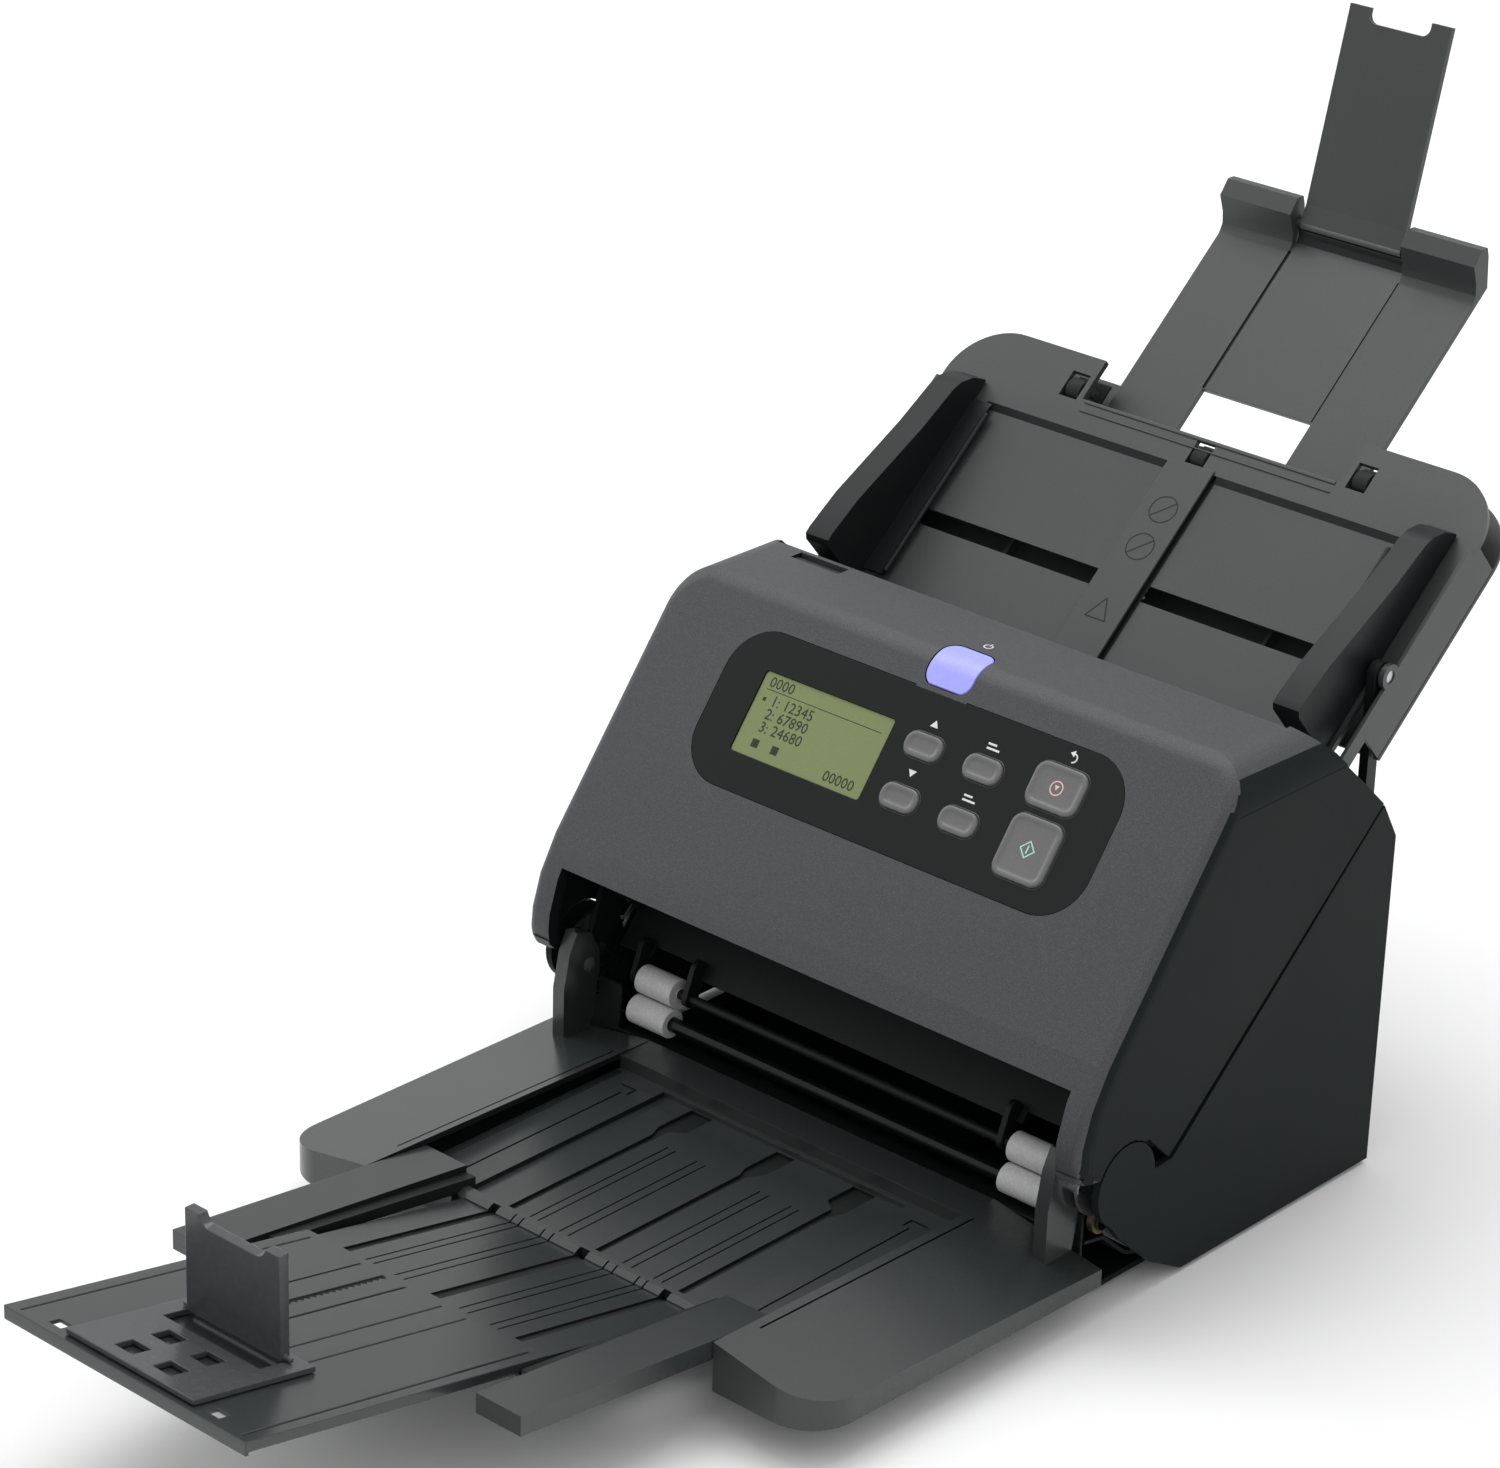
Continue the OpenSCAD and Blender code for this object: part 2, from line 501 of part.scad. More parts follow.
// ---------- feed tray ----------
// outline of the sheet surface: lobes at the top, a wide notch between them
module tray_outline() difference() {
    union() {
        translate([-tray_half, -tray_down]) square([2 * tray_half, tray_down + 64]);
        translate([26 - tray_half, 0]) square([2 * tray_half - 52, tray_up]);
        for (s = [-1, 1]) translate([s * (tray_half - 26), tray_up - 26]) circle(26);
    }
    translate([0, tray_up]) square([128, 38], center = true);
}
roller_at = [[-71, 75.6], [0, 63.6], [71, 75.6]];
module feed_tray() color(tray_grey) tray_frame() difference() {
    union() {
        translate([0, 0, -2.5]) linear_extrude(2.5) tray_outline();
        // raised edges and outer walls
        for (s = [-1, 1]) {
            translate([s * (tray_half - 0.75) - 0.75, -tray_down, -4]) cube([1.5, tray_down + 60, 7]);
            translate([s * (tray_half - 0.75) - 0.75, -24, -17.5]) cube([1.5, 88, 16]);
        }
        // posts of the idler rollers and pivot of the guide pinion
        for (p = roller_at) for (s = [-1, 1]) translate([p[0] + s * 6 - 1, p[1] - 3, -7.4]) cube([2, 6, 5]);
        translate([0, 0.75, -6.6]) cylinder(r = 2.95, h = 4.2);
        // cheeks about the hinge pins
        for (s = [-1, 1]) translate([s * 130.9 - 0.5, 0, hinge_above]) rotate([0, 90, 0])
            translate([0, 0, -0.6]) cylinder(r = 5, h = 2.2);
    }
    for (s = [-1, 1]) translate([s * (arm_in + 2) - 2.7, -tray_down - 1, -3.5]) cube([5.4, tray_down + 8, 12]);
    for (s = [-1, 1]) translate([s > 0 ? 12 : -123, -3, -3]) cube([111, 7.5, 4]);
    for (p = roller_at) translate([p[0] - 4.5, p[1] - 6, -3]) cube([9, 12, 4]);
    for (p = roller_at) translate([p[0] - 8, p[1], -4.6]) rotate([0, 90, 0]) cylinder(r = 1.55, h = 16);
    for (s = [-1, 1]) translate([s * 131.7, 0, hinge_above]) rotate([0, s * 90, 0])
        translate([0, 0, -3]) cylinder(r = 2.55, h = 4);
}
back_n = -20;
module tray_back() color(tray_grey) tray_frame() difference() {
    union() {
        translate([0, 0, back_n]) linear_extrude(2) intersection() {
            tray_outline();
            difference() {
                translate([-tray_half, -24]) square([2 * tray_half, 120]);
                for (s = [-1, 1]) translate([s * (arm_in + 2) - 2.7, -25]) square([5.4, 18]);
            }
        }
        // runners of the extension
        for (s = [-1, 1]) translate([s * 64.5 - 1, -20, back_n + 1.9]) cube([2, 88, 6]);
    }
}
// side profile of a guide: along the slope and square to it
guide_profile = [[-37, 0.5], [-37, 27], [-35.5, 29.5], [-32, 29.7], [-13.8, 27.8], [28.5, 18.6], [50, 15.4],
    [55, 13.6], [61, 8.6], [65, 1.4], [64.5, 0.5]];
module guide(dir) color(dark) tray_frame() {
    slab(guide_in + 1, guide_in + 13) polygon(guide_profile);
    // light foot that carries the edge of the sheet
    slab(guide_in - 8, guide_in + 1.5) polygon([[-30, 0.3], [-30, 1.2], [52, 1.2], [56, 0.3]]);
    // neck through the cross slot, and the rack bar
    translate([112, -2.2, -5.9]) cube([6, 5.9, 6.6]);
    translate([112, dir > 0 ? -2.2 : -15.1, -5.9]) cube([6, dir > 0 ? 19.8 : 18, 2.8]);
    translate([-6, dir > 0 ? 11.6 : -15.1, -5.9]) cube([124, 5, 2.8]);
}
module guide_left() mirror([1, 0, 0]) guide(-1);
module guide_right() guide(1);
module guide_pinion() color([0.9, 0.9, 0.86]) tray_frame() translate([0, 0.75, -5.9]) difference() {
    linear_extrude(2.8) gear_outline(19, 0);
    translate([0, 0, -1]) cylinder(r = 3, h = 5);
}
module tray_roller(p) color(rubber) tray_frame() translate([p[0], p[1], -4.6]) rotate([0, 90, 0]) {
    translate([0, 0, -3.5]) cylinder(r = 5, h = 7);
    translate([0, 0, -8.2]) cylinder(r = 1.5, h = 16.4);
}
module tray_roller_left() { tray_roller(roller_at[0]); }
module tray_roller_middle() { tray_roller(roller_at[1]); }
module tray_roller_right() { tray_roller(roller_at[2]); }
ext_half = 62.5;
ext_n = -14.7;
flap_s = 179;
flap_n = -9;
flap_lean = 35.2;
module feed_extension() color(tray_grey) tray_frame() difference() {
    union() {
        for (s = [-1, 1]) slab(s > 0 ? 27 : -ext_half, s > 0 ? ext_half : -27)
            polygon([[55, ext_n - 2.3], [55, ext_n], [167, ext_n], [171, ext_n + 1.6], [174, -9], [177, -1.6],
                     [184.5, 0], [187.5, -2.5], [186, -6], [178, ext_n - 2.3]]);
        slab(-28, 28) polygon([[98, ext_n - 2.3], [98, ext_n], [173, ext_n], [173, ext_n - 2.3]]);
        slab(-28, 28) polygon([[55, ext_n - 2.3], [55, ext_n], [74, ext_n], [74, ext_n - 2.3]]);
    }
    rod([flap_s, flap_n], 1.55, -32, 32);
}
module extension_flap() color(tray_grey) {
    tray_frame() rod([flap_s, flap_n], 1.5, -31.5, 31.5);
    tray_frame() slab(-24.5, 24.5) difference() {
        hull() {
            disc([flap_s, flap_n], 2.4);
            disc([flap_s + 8 * cos(flap_lean), flap_n + 8 * sin(flap_lean)], 1.3);
        }
        disc([flap_s, flap_n], 1);
    }
    tray_frame() translate([0, flap_s, flap_n]) rotate([flap_lean, 0, 0]) translate([0, 0, -1.3])
        linear_extrude(2.6) difference() {
            translate([-24.5, 4]) square([49, flap_len - 4]);
            translate([0, flap_len + 1]) round_rect(30, 14, 4);
        }
}

// ---------- eject tray ----------
tray_rear = 7;
front_r = 20;
module eject_outline(e) {
    polygon([[-139.5 + e, tray_rear - e], [139.5 - e, tray_rear - e], [136 - e, eject_front + front_r],
             [136 - front_r, eject_front + front_r], [136 - front_r, eject_front + e],
             [front_r - 136, eject_front + e], [front_r - 136, eject_front + front_r],
             [e - 136, eject_front + front_r]]);
    for (s = [-1, 1]) translate([s * (136 - front_r), eject_front + front_r]) circle(front_r - e);
}
// upper side of a lobe: rises towards the middle and towards the front
module lobe(drop) hull() {
    lobe_slice(tray_rear + 1, 29.5 - drop, 20.6 - drop);
    lobe_slice(eject_front - 1, 34 - drop, 24.6 - drop);
}
module lobe_slice(y, z_in, z_out) translate([0, y, 0]) rotate([90, 0, 0]) linear_extrude(0.1)
    polygon([[recess_half, 0], [141, 0], [141, z_out], [recess_half, z_in]]);
// strip of a plan outline between two heights
module plan(z0, z1) translate([0, 0, z0]) linear_extrude(z1 - z0) children();
slot_low = 21.6;
pan_z = 23.8;
module eject_tray() color(tray_grey) difference() {
    union() {
        intersection() {
            plan(eject_z, 40) eject_outline(0);
            union() {
                lobe(0);
                mirror([1, 0, 0]) lobe(0);
                box(-recess_half - 1, recess_half + 1, eject_front + 19, tray_rear, 0, 29.3);
            }
        }
        // upright hinge fins
        slab_pair(119.5, 125.5) polygon([[-9, 22], [6, 22], [11, 46], [11, 56], [6, 66], [-2, 68],
                                         [-6, 60], [-9, 45]]);
    }
    box(-recess_half, recess_half, eject_front, -9.7, pan_z, 40);
    box(-61.9, 61.9, eject_front, -12, slot_low, 40);
    box(-recess_half, recess_half, eject_front - 1, -127, 10, 40);
    // hollow underside
    intersection() {
        plan(0, 40) eject_outline(3);
        union() {
            lobe(2.5);
            mirror([1, 0, 0]) lobe(2.5);
            box(-recess_half - 1, recess_half + 1, -124, tray_rear - 3, 0, slot_low - 2);
        }
        plan(eject_z + 2.4, 40) square([400, 400], center = true);
    }
    for (s = [-1, 1]) rod([tray_pin_y, tray_pin_z], 3.05, s > 0 ? 119 : -126, s > 0 ? 126 : -119);
}
slope_1 = 0.1206;
slope_2 = 0.1985;
function top_1(y) = 32 - slope_1 * (y + 127);
function top_2(y) = 45.9 - slope_2 * (y + 228);
sheet_2 = 1.6;
module strip(y0, y1, d0, d1) polygon([[y0, top_2(y0) - d0], [y1, top_2(y1) - d0], [y1, top_2(y1) - d1],
                                      [y0, top_2(y0) - d1]]);
module eject_extension_1() color(tray_grey) {
    slab_pair(66, recess_half - 0.4) polygon([[-115, top_1(-115)], [-115, 24.1], [-127, 24.4],
        [-240.6, top_1(-240.6) - 8], [-240.6, top_1(-240.6)]]);
    slab_pair(61.2, 66.1) polygon([[-115, top_1(-115) - 3], [-115, 24.1], [-127, 24.4], [-214, top_2(-214) - 6],
        [-214, top_2(-214) - 2]]);
    slab(-58.2, 58.2) strip(-124, -214, 1.9, 3.3);
    slab(-61.4, 61.4) strip(-160, -214, 4.6, 6);
    for (x = [-50, -16, 16, 50]) slab(x - 3, x + 3) strip(-160, -214, 3.2, 4.7);
    slab(-61.4, 61.4) polygon([[-119, 22.2], [-119, 25.4], [-122, 25.4], [-124.5, 24], [-124.5, 22.2]]);
}
module eject_extension_2() color(tray_grey) difference() {
    union() {
        slab(-60.4, 60.4) strip(-200, tip_y, 0, sheet_2);
        slab_pair(59, 60.4) strip(-200, tip_y, 0.1, 4.2);
        slab(-60.4, 60.4) strip(tip_y + 1.6, tip_y, 0.1, 5.5);
    }
    for (s = [-1, 1]) translate([s * 39.6, -332, 60]) cube([6, 4.5, 30], center = true);
}
stop_y = -288;
stop_z = 61.6;
stop_grey = [0.25, 0.25, 0.27];
module stop_base() color(stop_grey) difference() {
    slab(-32, 32) strip(-282, -336, -2.6, -0.3);
    slab(-24, 24) strip(-285, -300, -3, 0);
    slab_pair(5, 14) strip(-306, -314, -3, 0);
    slab_pair(5, 14) strip(-322, -330, -3, 0);
    rod([stop_y, stop_z], 1.05, -27, 27);
}
module stop_flap() color(stop_grey) {
    difference() {
        slab(-23.5, 23.5) {
            disc([stop_y, stop_z], 2.2);
            translate([stop_y - 2.2, stop_z]) square([4.4, 101 - stop_z]);
        }
        translate([0, stop_y, 104]) rotate([90, 0, 0]) linear_extrude(10, center = true) round_rect(33, 14, 5);
    }
    rod([stop_y, stop_z], 1, -26.8, 26.8);
}

// ---------- what is drawn ----------
base_plate();
rear_cover();
side_covers();
rubber_feet();
case_screws();
chassis_plates();
tray_arms();
hinge_pins();
bushings();
lower_chute();
lower_sensor();
lower_glass();
main_board();
power_socket();
usb_socket();
feed_motor();
motor_pinion();
reduction_gear();
idler_gear();
timing_belt();
feed_shaft();
feed_tyres();
drive_shaft();
drive_tyres();
eject_shaft();
eject_rollers();
front_cover();
side_panels();
unit_frame();
upper_chute();
upper_sensor();
separation_roller();
pinch_rollers();
eject_pinch_rollers();
panel_bezel();
panel_board();
lcd_screen();
button_up();
button_down();
button_menu();
button_ok();
button_stop();
button_start();
power_button();
open_lever();
feed_tray();
tray_back();
guide_left();
guide_right();
guide_pinion();
tray_roller_left();
tray_roller_middle();
tray_roller_right();
feed_extension();
extension_flap();
eject_tray();
eject_extension_1();
eject_extension_2();
stop_base();
stop_flap();
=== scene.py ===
"""Looks of the sheet fed document scanner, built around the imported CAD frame."""

import json
import math

import bmesh
import bpy
from mathutils import Matrix, Vector
from mathutils.geometry import convex_hull_2d


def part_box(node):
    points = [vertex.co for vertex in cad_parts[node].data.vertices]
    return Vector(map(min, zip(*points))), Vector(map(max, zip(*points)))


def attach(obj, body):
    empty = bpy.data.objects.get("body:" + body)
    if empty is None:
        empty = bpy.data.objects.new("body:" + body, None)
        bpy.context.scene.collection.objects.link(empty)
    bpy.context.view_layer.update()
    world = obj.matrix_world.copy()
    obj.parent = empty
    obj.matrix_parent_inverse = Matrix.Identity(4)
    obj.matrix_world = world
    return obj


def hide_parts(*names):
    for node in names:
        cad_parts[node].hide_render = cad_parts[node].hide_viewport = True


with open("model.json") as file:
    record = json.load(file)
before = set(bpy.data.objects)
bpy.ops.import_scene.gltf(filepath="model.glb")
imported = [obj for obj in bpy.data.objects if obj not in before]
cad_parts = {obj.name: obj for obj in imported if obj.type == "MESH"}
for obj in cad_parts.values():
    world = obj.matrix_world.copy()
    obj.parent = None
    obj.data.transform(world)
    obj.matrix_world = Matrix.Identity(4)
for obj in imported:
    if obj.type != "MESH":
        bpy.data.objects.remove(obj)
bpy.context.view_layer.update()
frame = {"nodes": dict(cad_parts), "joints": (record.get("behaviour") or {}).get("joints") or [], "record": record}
NODES = frame["nodes"]
BODY_OF = {n: b for b, ns in frame["record"]["behaviour"]["bodies"].items() for n in ns}
SLOT_OF = {row["node"]: row["material_slot"] for row in frame["record"]["subparts"]}
MM = 0.001


# ---------------------------------------------------------------- camera, light, floor
def add_camera():
    """Looks down on the scanner from the front right, as a long lens sees it."""
    place = Vector((1.0582, -1.2257, 0.9207))
    forward = Vector((-0.6072, 0.6818, -0.4081)).normalized()
    side = forward.cross(Vector((0, 0, 1))).normalized()
    up = side.cross(forward)
    roll = math.radians(1.76)
    right = side * math.cos(roll) + up * math.sin(roll)
    up = right.cross(forward)
    camera = bpy.data.objects.new("camera", bpy.data.cameras.new("camera"))
    bpy.context.scene.collection.objects.link(camera)
    camera.matrix_world = Matrix((right, up, -forward)).transposed().to_4x4()
    camera.location = place
    camera.data.sensor_width = 36
    camera.data.lens = 116.3
    camera.data.shift_x = -0.001
    camera.data.shift_y = -0.0098
    camera.data.clip_end = 20
    bpy.context.scene.camera = camera


def add_light(name, place, aim, size, power, colour=(1, 1, 1)):
    lamp = bpy.data.lights.new(name, "AREA")
    lamp.shape = "RECTANGLE"
    lamp.size, lamp.size_y = size
    lamp.energy = power
    lamp.color = colour
    obj = bpy.data.objects.new(name, lamp)
    bpy.context.scene.collection.objects.link(obj)
    obj.location = place
    obj.rotation_euler = (Vector(aim) - Vector(place)).to_track_quat("-Z", "Y").to_euler()


def add_stage():
    """A pale floor that curves up behind, and soft boxes above, to the left and to the right."""
    bm = bmesh.new()
    half, back, rise = 6.0, 4.0, 1.5
    rows = [(-half, 0.0), (back, 0.0)]
    rows += [(back + rise * math.sin(a), rise - rise * math.cos(a)) for a in
             [math.pi / 2 * i / 16 for i in range(1, 17)]]
    rows.append((back + rise, 6.0))
    ring = [(bm.verts.new((-half, y, z)), bm.verts.new((half, y, z))) for y, z in rows]
    for (a, b), (c, d) in zip(ring, ring[1:]):
        bm.faces.new((a, b, d, c)).smooth = True
    mesh = bpy.data.meshes.new("floor")
    bm.to_mesh(mesh)
    bm.free()
    floor = bpy.data.objects.new("floor", mesh)
    bpy.context.scene.collection.objects.link(floor)
    mesh.materials.append(floor_material())
    world = bpy.data.worlds.new("studio")
    world.use_nodes = True
    world.node_tree.nodes["Background"].inputs["Color"].default_value = (1, 1, 1, 1)
    world.node_tree.nodes["Background"].inputs["Strength"].default_value = 0.8
    bpy.context.scene.world = world
    bpy.context.scene.view_settings.view_transform = "Standard"
    add_light("overhead", (-0.5, 0.6, 2.4), (0, 0.05, 0.1), (2.2, 1.6), 36)
    add_light("left", (-2.4, -0.3, 1.5), (0, 0, 0.1), (1.2, 1.6), 12)
    add_light("right", (2.3, 0.2, 1.1), (0, 0.05, 0.12), (1.0, 1.4), 1)


# ---------------------------------------------------------------- materials
def shader(name):
    mat = bpy.data.materials.new(name)
    mat.use_nodes = True
    tree = mat.node_tree
    return mat, tree, tree.nodes["Principled BSDF"]


def noise(tree, scale, detail=2.0):
    coords = tree.nodes.new("ShaderNodeTexCoord")
    node = tree.nodes.new("ShaderNodeTexNoise")
    node.inputs["Scale"].default_value = scale
    node.inputs["Detail"].default_value = detail
    tree.links.new(coords.outputs["Object"], node.inputs["Vector"])
    return node.outputs["Fac"]


def spread(tree, fac, low, high):
    """Maps the middle of a noise value to the span from low to high."""
    node = tree.nodes.new("ShaderNodeMapRange")
    node.inputs["From Min"].default_value = 0.3
    node.inputs["From Max"].default_value = 0.7
    node.inputs["To Min"].default_value = low
    node.inputs["To Max"].default_value = high
    tree.links.new(fac, node.inputs["Value"])
    return node.outputs["Result"]


def ramp(tree, fac, stops):
    node = tree.nodes.new("ShaderNodeValToRGB")
    elements = node.color_ramp.elements
    while len(elements) < len(stops):
        elements.new(0.5)
    for element, (at, colour) in zip(elements, stops):
        element.position = at
        element.color = (*colour, 1)
    tree.links.new(fac, node.inputs["Fac"])
    return node.outputs["Color"]


def shade(colour, k):
    return tuple(min(1.0, c * k) for c in colour)


def plastic(name, colour, rough, grain=900.0, bump=0.06, speckle=0.12, spec=0.5, patch=0.05):
    """Moulded plastic: fine erosion texture, soft patches in colour and gloss, light speckles."""
    mat, tree, bsdf = shader(name)
    fine = noise(tree, grain, 3)
    broad = noise(tree, 9, 3)
    tint = ramp(tree, fine, [(0.30, shade(colour, 1 - speckle)), (0.52, colour),
                             (0.72, shade(colour, 1 + 2.2 * speckle))])
    patchy = ramp(tree, broad, [(0.3, (1 - patch,) * 3), (0.7, (1, 1, 1))])
    mix = tree.nodes.new("ShaderNodeMixRGB")
    mix.blend_type = "MULTIPLY"
    mix.inputs["Fac"].default_value = 1.0
    tree.links.new(tint, mix.inputs["Color1"])
    tree.links.new(patchy, mix.inputs["Color2"])
    tree.links.new(mix.outputs["Color"], bsdf.inputs["Base Color"])
    tree.links.new(spread(tree, broad, rough * 0.92, min(1.0, rough * 1.1)), bsdf.inputs["Roughness"])
    bsdf.inputs["Specular IOR Level"].default_value = spec
    bumps = tree.nodes.new("ShaderNodeBump")
    bumps.inputs["Strength"].default_value = bump
    bumps.inputs["Distance"].default_value = 0.0004
    tree.links.new(fine, bumps.inputs["Height"])
    tree.links.new(bumps.outputs["Normal"], bsdf.inputs["Normal"])
    return mat


def metal(name, colour, rough):
    """Rolled metal: fine streaks along X in colour and gloss."""
    mat, tree, bsdf = shader(name)
    coords = tree.nodes.new("ShaderNodeTexCoord")
    stretch = tree.nodes.new("ShaderNodeMapping")
    stretch.inputs["Scale"].default_value = (40, 1200, 1200)
    streak = tree.nodes.new("ShaderNodeTexNoise")
    streak.inputs["Scale"].default_value = 1.0
    tree.links.new(coords.outputs["Object"], stretch.inputs["Vector"])
    tree.links.new(stretch.outputs["Vector"], streak.inputs["Vector"])
    tree.links.new(ramp(tree, streak.outputs["Fac"], [(0.3, shade(colour, 0.88)), (0.7, colour)]),
                   bsdf.inputs["Base Color"])
    tree.links.new(spread(tree, streak.outputs["Fac"], rough * 0.8, rough * 1.25), bsdf.inputs["Roughness"])
    bsdf.inputs["Metallic"].default_value = 1.0
    return mat


def floor_material():
    mat, tree, bsdf = shader("floor")
    tree.links.new(ramp(tree, noise(tree, 3), [(0.3, (0.86, 0.86, 0.86)), (0.7, (0.90, 0.90, 0.90))]),
                   bsdf.inputs["Base Color"])
    bsdf.inputs["Roughness"].default_value = 0.9
    bsdf.inputs["Specular IOR Level"].default_value = 0.1
    return mat


def clear(name, colour, rough, through):
    """Smoked or clear plastic that lets some light through."""
    mat = plastic(name, colour, rough, 300, 0.02, 0.05)
    mat.node_tree.nodes["Principled BSDF"].inputs["Transmission Weight"].default_value = through
    mat.node_tree.nodes["Principled BSDF"].inputs["IOR"].default_value = 1.45
    return mat


def lit(name, colour, glow, strength):
    """Translucent key with a lamp behind it."""
    mat = plastic(name, colour, 0.35, 400, 0.02, 0.05)
    bsdf = mat.node_tree.nodes["Principled BSDF"]
    bsdf.inputs["Emission Color"].default_value = (*glow, 1)
    bsdf.inputs["Emission Strength"].default_value = strength
    return mat


MATERIALS = {
    "front_grey": plastic("front_grey", (0.052, 0.054, 0.057), 0.50, 2600, 0.25, 0.30, 0.4),
    "housing_dark": plastic("housing_dark", (0.008, 0.0115, 0.011), 0.55, 2200, 0.12, 0.10, 0.10),
    "tray_grey": plastic("tray_grey", (0.036, 0.040, 0.040), 0.36, 2400, 0.10, 0.08, 0.5),
    "tray_gloss": plastic("tray_gloss", (0.028, 0.032, 0.032), 0.24, 2400, 0.05, 0.06, 0.6),
    "guide_dark": plastic("guide_dark", (0.009, 0.0105, 0.011), 0.42, 2200, 0.10, 0.08, 0.25),
    # inner_black is the colour of the black inner parts, and also painted shade in grooves, gaps and openings.
    "inner_black": plastic("inner_black", (0.006, 0.007, 0.007), 0.55, 1500, 0.10, 0.15, 0.3),
    "panel_black": plastic("panel_black", (0.0035, 0.0055, 0.0050), 0.22, 1400, 0.01, 0.10, 0.3),
    "key_grey": plastic("key_grey", (0.13, 0.13, 0.13), 0.34, 1800, 0.05, 0.06, 0.5),
    "key_rim": plastic("key_rim", (0.035, 0.036, 0.037), 0.30, 1800, 0.03, 0.06, 0.5),
    "lcd": plastic("lcd", (0.20, 0.24, 0.105), 0.25, 2000, 0.01, 0.04, 0.3),
    "lcd_ink": plastic("lcd_ink", (0.025, 0.030, 0.020), 0.40, 900, 0.01, 0.05, 0.3),
    "print_white": plastic("print_white", (0.72, 0.73, 0.73), 0.50, 900, 0.01, 0.03, 0.3),
    "print_pink": plastic("print_pink", (0.75, 0.50, 0.47), 0.50, 900, 0.01, 0.03, 0.3),
    "print_mint": plastic("print_mint", (0.42, 0.72, 0.63), 0.50, 900, 0.01, 0.03, 0.3),
    "power_violet": lit("power_violet", (0.26, 0.27, 0.70), (0.33, 0.34, 0.95), 0.35),
    "steel": metal("steel", (0.56, 0.57, 0.58), 0.32),
    "bronze": metal("bronze", (0.30, 0.22, 0.13), 0.40),
    "rubber": plastic("rubber", (0.016, 0.016, 0.017), 0.75, 1200, 0.20, 0.15, 0.3),
    "white_roll": plastic("white_roll", (0.62, 0.62, 0.62), 0.45, 900, 0.05, 0.06, 0.5),
    "gear_white": plastic("gear_white", (0.66, 0.65, 0.60), 0.45, 900, 0.05, 0.05, 0.5),
    "glass": clear("glass", (0.70, 0.80, 0.80), 0.08, 0.6),
    "board": plastic("board", (0.012, 0.085, 0.035), 0.35, 700, 0.10, 0.20, 0.5),
    "stop_smoke": clear("stop_smoke", (0.085, 0.087, 0.092), 0.22, 0.25),
}
for node_name, node_obj in NODES.items():
    node_obj.data.materials.clear()
    node_obj.data.materials.append(MATERIALS[SLOT_OF[node_name]])


# ---------------------------------------------------------------- mesh tools
def frame_at(y, z, tilt):
    """Local frame of a slope: local Y runs up the slope and local Z stands square to it."""
    return Matrix.Translation((0, y, z)) @ Matrix.Rotation(tilt, 4, "X")


def to_object(name, bm, material):
    bmesh.ops.recalc_face_normals(bm, faces=bm.faces)
    mesh = bpy.data.meshes.new(name)
    bm.to_mesh(mesh)
    bm.free()
    obj = bpy.data.objects.new(name, mesh)
    bpy.context.scene.collection.objects.link(obj)
    mesh.materials.append(MATERIALS[material])
    return obj


def prism(name, outline, low, high, axis="Z", place=Matrix.Identity(4), material="inner_black"):
    """An outline pushed from low to high: X-Y outlines along Z, or Y-Z outlines along X."""
    bm = bmesh.new()
    rings = []
    for level in (low, high):
        ring = []
        for a, b in outline:
            point = (a, b, level) if axis == "Z" else (level, a, b)
            ring.append(bm.verts.new(place @ Vector(point)))
        rings.append(ring)
    bm.faces.new(rings[0][::-1])
    bm.faces.new(rings[1])
    count = len(outline)
    for i in range(count):
        j = (i + 1) % count
        bm.faces.new((rings[0][i], rings[0][j], rings[1][j], rings[1][i]))
    return to_object(name, bm, material)


def block(name, low, high, place=Matrix.Identity(4), material="inner_black"):
    outline = [(low[0], low[1]), (high[0], low[1]), (high[0], high[1]), (low[0], high[1])]
    return prism(name, outline, low[2], high[2], "Z", place, material)


def round_outline(width, height, radius, centre=(0, 0), steps=8):
    """Rounded rectangle, corner by corner."""
    points = []
    for corner in range(4):
        sx = 1 if corner in (0, 3) else -1
        sy = 1 if corner < 2 else -1
        mid = (centre[0] + sx * (width / 2 - radius), centre[1] + sy * (height / 2 - radius))
        for i in range(steps + 1):
            a = math.pi / 2 * (corner + i / steps)
            points.append((mid[0] + radius * math.cos(a), mid[1] + radius * math.sin(a)))
    return points


def apply_all(obj):
    """Bakes every modifier of obj into its mesh."""
    bpy.context.view_layer.update()
    graph = bpy.context.evaluated_depsgraph_get()
    mesh = bpy.data.meshes.new_from_object(obj.evaluated_get(graph), depsgraph=graph)
    obj.modifiers.clear()
    old = obj.data
    obj.data = mesh
    bpy.data.meshes.remove(old)
    return obj


def boolean(obj, others, operation, folded=False):
    """Joins or cuts obj with other meshes, which are used up.

    folded allows for shapes that touch themselves."""
    for other in others:
        mod = obj.modifiers.new(operation, "BOOLEAN")
        mod.operation = operation
        mod.solver = "EXACT"
        mod.material_mode = "TRANSFER"
        mod.use_self = folded
        mod.object = other
    apply_all(obj)
    for other in others:
        bpy.data.objects.remove(other)
    return obj


